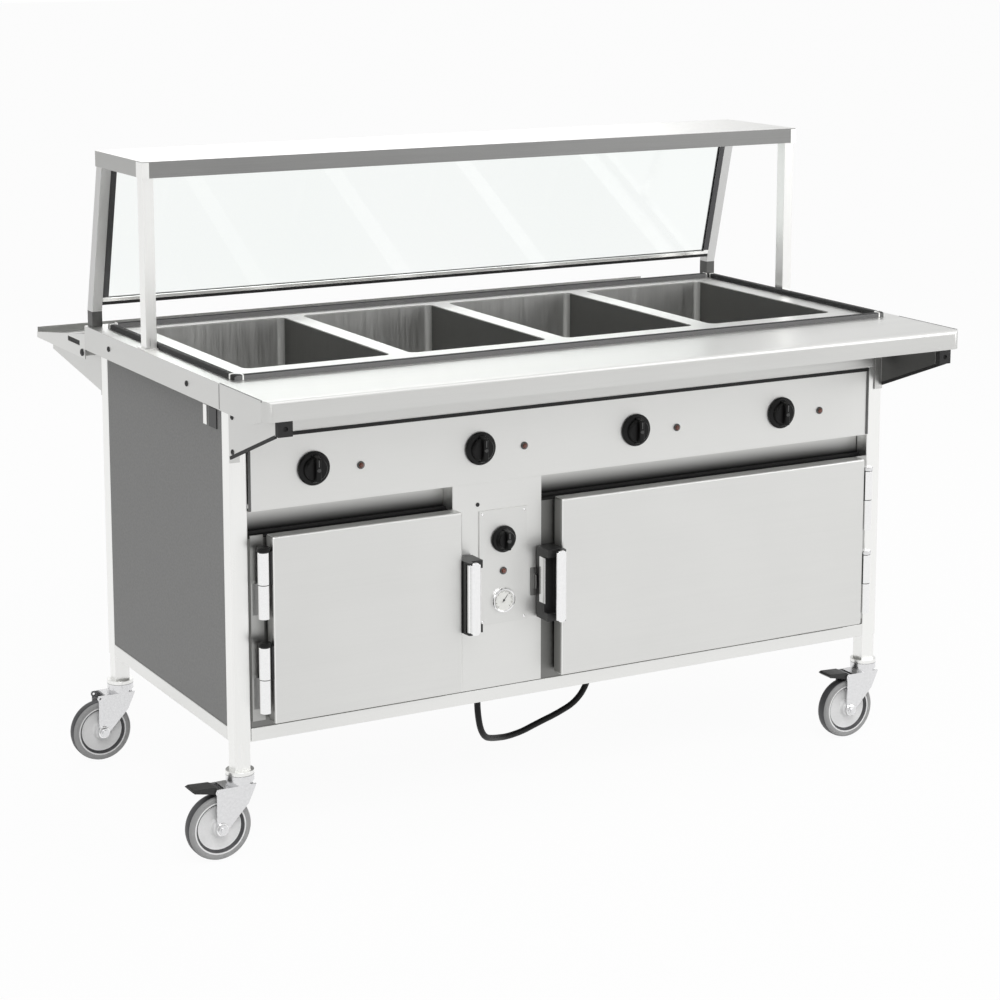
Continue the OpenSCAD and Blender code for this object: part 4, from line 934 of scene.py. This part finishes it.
# A pair of blocks, one at each end of the counter: x runs from the middle outwards, and y and z are the same
def endBlocks(mesh, xs, ys, zs, ease, material=0):
    for s in (-1, 1):
        addMesh(mesh, spanBlock((s * xs[0], s * xs[1]), ys, zs, ease), material)


def makeCatches():
    mesh, liners = bmesh.new(), bmesh.new()
    xs = (catch["sheetX"], catch["sheetX"] + catch["thick"])
    endBlocks(mesh, xs, catch["y"], catch["z"], catch["ease"])
    endBlocks(mesh, xs, catch["tongue"], catch["z"], catch["ease"], 1)
    endBlocks(liners, (slotLiner["x"] - slotLiner["thick"], slotLiner["x"]), slotLiner["y"], slotLiner["z"],
              slotLiner["ease"])
    finishPiece("endSheetCatches", mesh, blackPaint, "cabinet", second=(frameSteelAndPaintedHighlight,))
    finishPiece("slotPaintedShadeLiners", liners, blackRubberAndPaintedShade, "cabinet")


makeCatches()

# Dark strips as painted shade in the gaps over and beside the control panel and under the header on both
# sides
strips = {"thick": 0.0022, "half": 0.7075, "over": (0.7990, 0.8060), "side": 0.0050, "panel": (0.664, 0.799),
          "header": (0.6125, 0.6190), "headerY": (-0.310, -0.302), "column": (-0.2835, -0.0855),
          "ease": 0.0006}


def makeStrips():
    mesh = bmesh.new()
    half, ease, ys = strips["half"], strips["ease"], (panelFront - strips["thick"], panelFront)
    left, right = strips["column"]
    addMesh(mesh, spanBlock((-half, half), ys, strips["over"], ease))
    endBlocks(mesh, (half - strips["side"], half), ys, strips["panel"], ease, 1)
    for xs in ((-half, left), (right, half)):
        addMesh(mesh, spanBlock(xs, strips["headerY"], strips["header"], ease))
    finishPiece("panelStrips", mesh, blackRubberAndPaintedShade, "cabinet", second=(greyRubberAndPaintedLight,))


makeStrips()

# Black strip as painted shade along the sloping edge of each front bracket, from its foot to its tip
bead = {"x": 0.7415, "foot": (-0.3390, 0.7695), "tip": (-0.5445, 0.8475), "wide": 0.0044, "tall": 0.0065,
        "ease": 0.0010}


def makeBeading():
    mesh = bmesh.new()
    w, t = bead["wide"] / 2, bead["tall"] / 2
    for s in (-1, 1):
        foot, tip = spot(s * bead["x"], *bead["foot"]), spot(s * bead["x"], *bead["tip"])
        along = tip - foot
        piece = blockMesh((-w, 0.0, -t), (w, along.length, t), bead["ease"])
        rise = Matrix.Rotation(-math.atan2(along.z, -along.y), 3, "X")
        bmesh.ops.rotate(piece, cent=(0, 0, 0), matrix=Matrix.Rotation(math.pi, 3, "Z"), verts=piece.verts)
        bmesh.ops.rotate(piece, cent=(0, 0, 0), matrix=rise, verts=piece.verts)
        bmesh.ops.translate(piece, vec=foot, verts=piece.verts)
        addMesh(mesh, piece)
    finishPiece("bracketBeading", mesh, blackRubberAndPaintedShade, "cabinet")


makeBeading()

# Studio: a white floor that fades into the background, a pale sky and three soft lamps
studio = {"floorHalf": 40, "paint": "F4F4F4", "white": "FFFFFF", "whiteShare": 0.95, "sky": 0.54,
          "skyFrom": (-0.1, 0.7), "skyTo": (0.55, 0.95),
          "lamps": {"keyLamp": (120, 3.0, (-1.3, -4.2, 4.2), (0, 0, 0.6)),
                    "fillLamp": (45, 3.0, (3.6, -3.0, 2.6), (0, 0, 0.6)),
                    "backLamp": (34, 2.5, (1.5, 3.6, 3.6), (0, 0, 0.8))}}


# 1 where any of the given outputs of a Light Path node is 1
def anyRay(tree, path, *names):
    found, *others = [path.outputs[name] for name in names]
    for other in others:
        found = addNode(tree, "ShaderNodeMath", {0: found, 1: other}, operation="MAXIMUM").outputs[0]
    return found


# Matt paint that keeps the shadows, shown mostly as plain white to the camera and in metal and glass
def makeFloor():
    mesh = bmesh.new()
    bmesh.ops.create_grid(mesh, x_segments=1, y_segments=1, size=studio["floorHalf"])
    data = bpy.data.meshes.new("studioFloor")
    mesh.to_mesh(data)
    mesh.free()
    ground = addObject("studioFloor", data)
    paint, tree = newMaterial("studioFloorPaint")
    path = addNode(tree, "ShaderNodeLightPath")
    white = addNode(tree, "ShaderNodeEmission", {"Color": hexColour(studio["white"]), "Strength": 1.0})
    matt = addNode(tree, "ShaderNodeBsdfDiffuse", {"Color": hexColour(studio["paint"])})
    seen = anyRay(tree, path, "Is Camera Ray", "Is Glossy Ray", "Is Transmission Ray")
    part = addNode(tree, "ShaderNodeMath", {0: seen, 1: studio["whiteShare"]}, operation="MULTIPLY")
    mix = addNode(tree, "ShaderNodeMixShader", {0: part.outputs[0], 1: matt.outputs[0], 2: white.outputs[0]})
    data.materials.append(closeMaterial(paint, mix))


# White to the camera and through glass, a gradient in metal, and the same gradient dimmed as light
def makeSky():
    sky = bpy.data.worlds.new("studioSky")
    sky.use_nodes = True
    sky.node_tree.nodes.clear()
    tree = sky.node_tree
    path = addNode(tree, "ShaderNodeLightPath")
    seen = anyRay(tree, path, "Is Camera Ray", "Is Transmission Ray")
    way = addNode(tree, "ShaderNodeTexCoord")
    parts = addNode(tree, "ShaderNodeSeparateXYZ", {"Vector": way.outputs["Generated"]})
    (low, high), (dark, light) = studio["skyFrom"], studio["skyTo"]
    rise = addNode(tree, "ShaderNodeMapRange",
                   {"Value": parts.outputs["Z"], "From Min": low, "From Max": high, "To Min": dark,
                    "To Max": light})
    dim = addNode(tree, "ShaderNodeMath", {0: rise.outputs[0], 1: studio["sky"]}, operation="MULTIPLY")
    shone = addNode(tree, "ShaderNodeMix",
                    {"Factor": path.outputs["Is Glossy Ray"], "A": dim.outputs[0], "B": rise.outputs[0]})
    level = addNode(tree, "ShaderNodeMix", {"Factor": seen, "A": shone.outputs[0], "B": 1.0})
    back = addNode(tree, "ShaderNodeBackground",
                   {"Color": hexColour(studio["white"]), "Strength": level.outputs[0]})
    addNode(tree, "ShaderNodeOutputWorld", {"Surface": back.outputs[0]})
    bpy.context.scene.world = sky


def makeLamp(title, watts, size, at, aim):
    light = bpy.data.lights.new(title, "AREA")
    light.energy = watts
    light.size = size
    holder = addObject(title, light)
    holder.location = at
    holder.rotation_euler = (Vector(aim) - Vector(at)).to_track_quat("-Z", "Y").to_euler()


makeFloor()
makeSky()
for title, settings in studio["lamps"].items():
    makeLamp(title, *settings)
print("studio made")
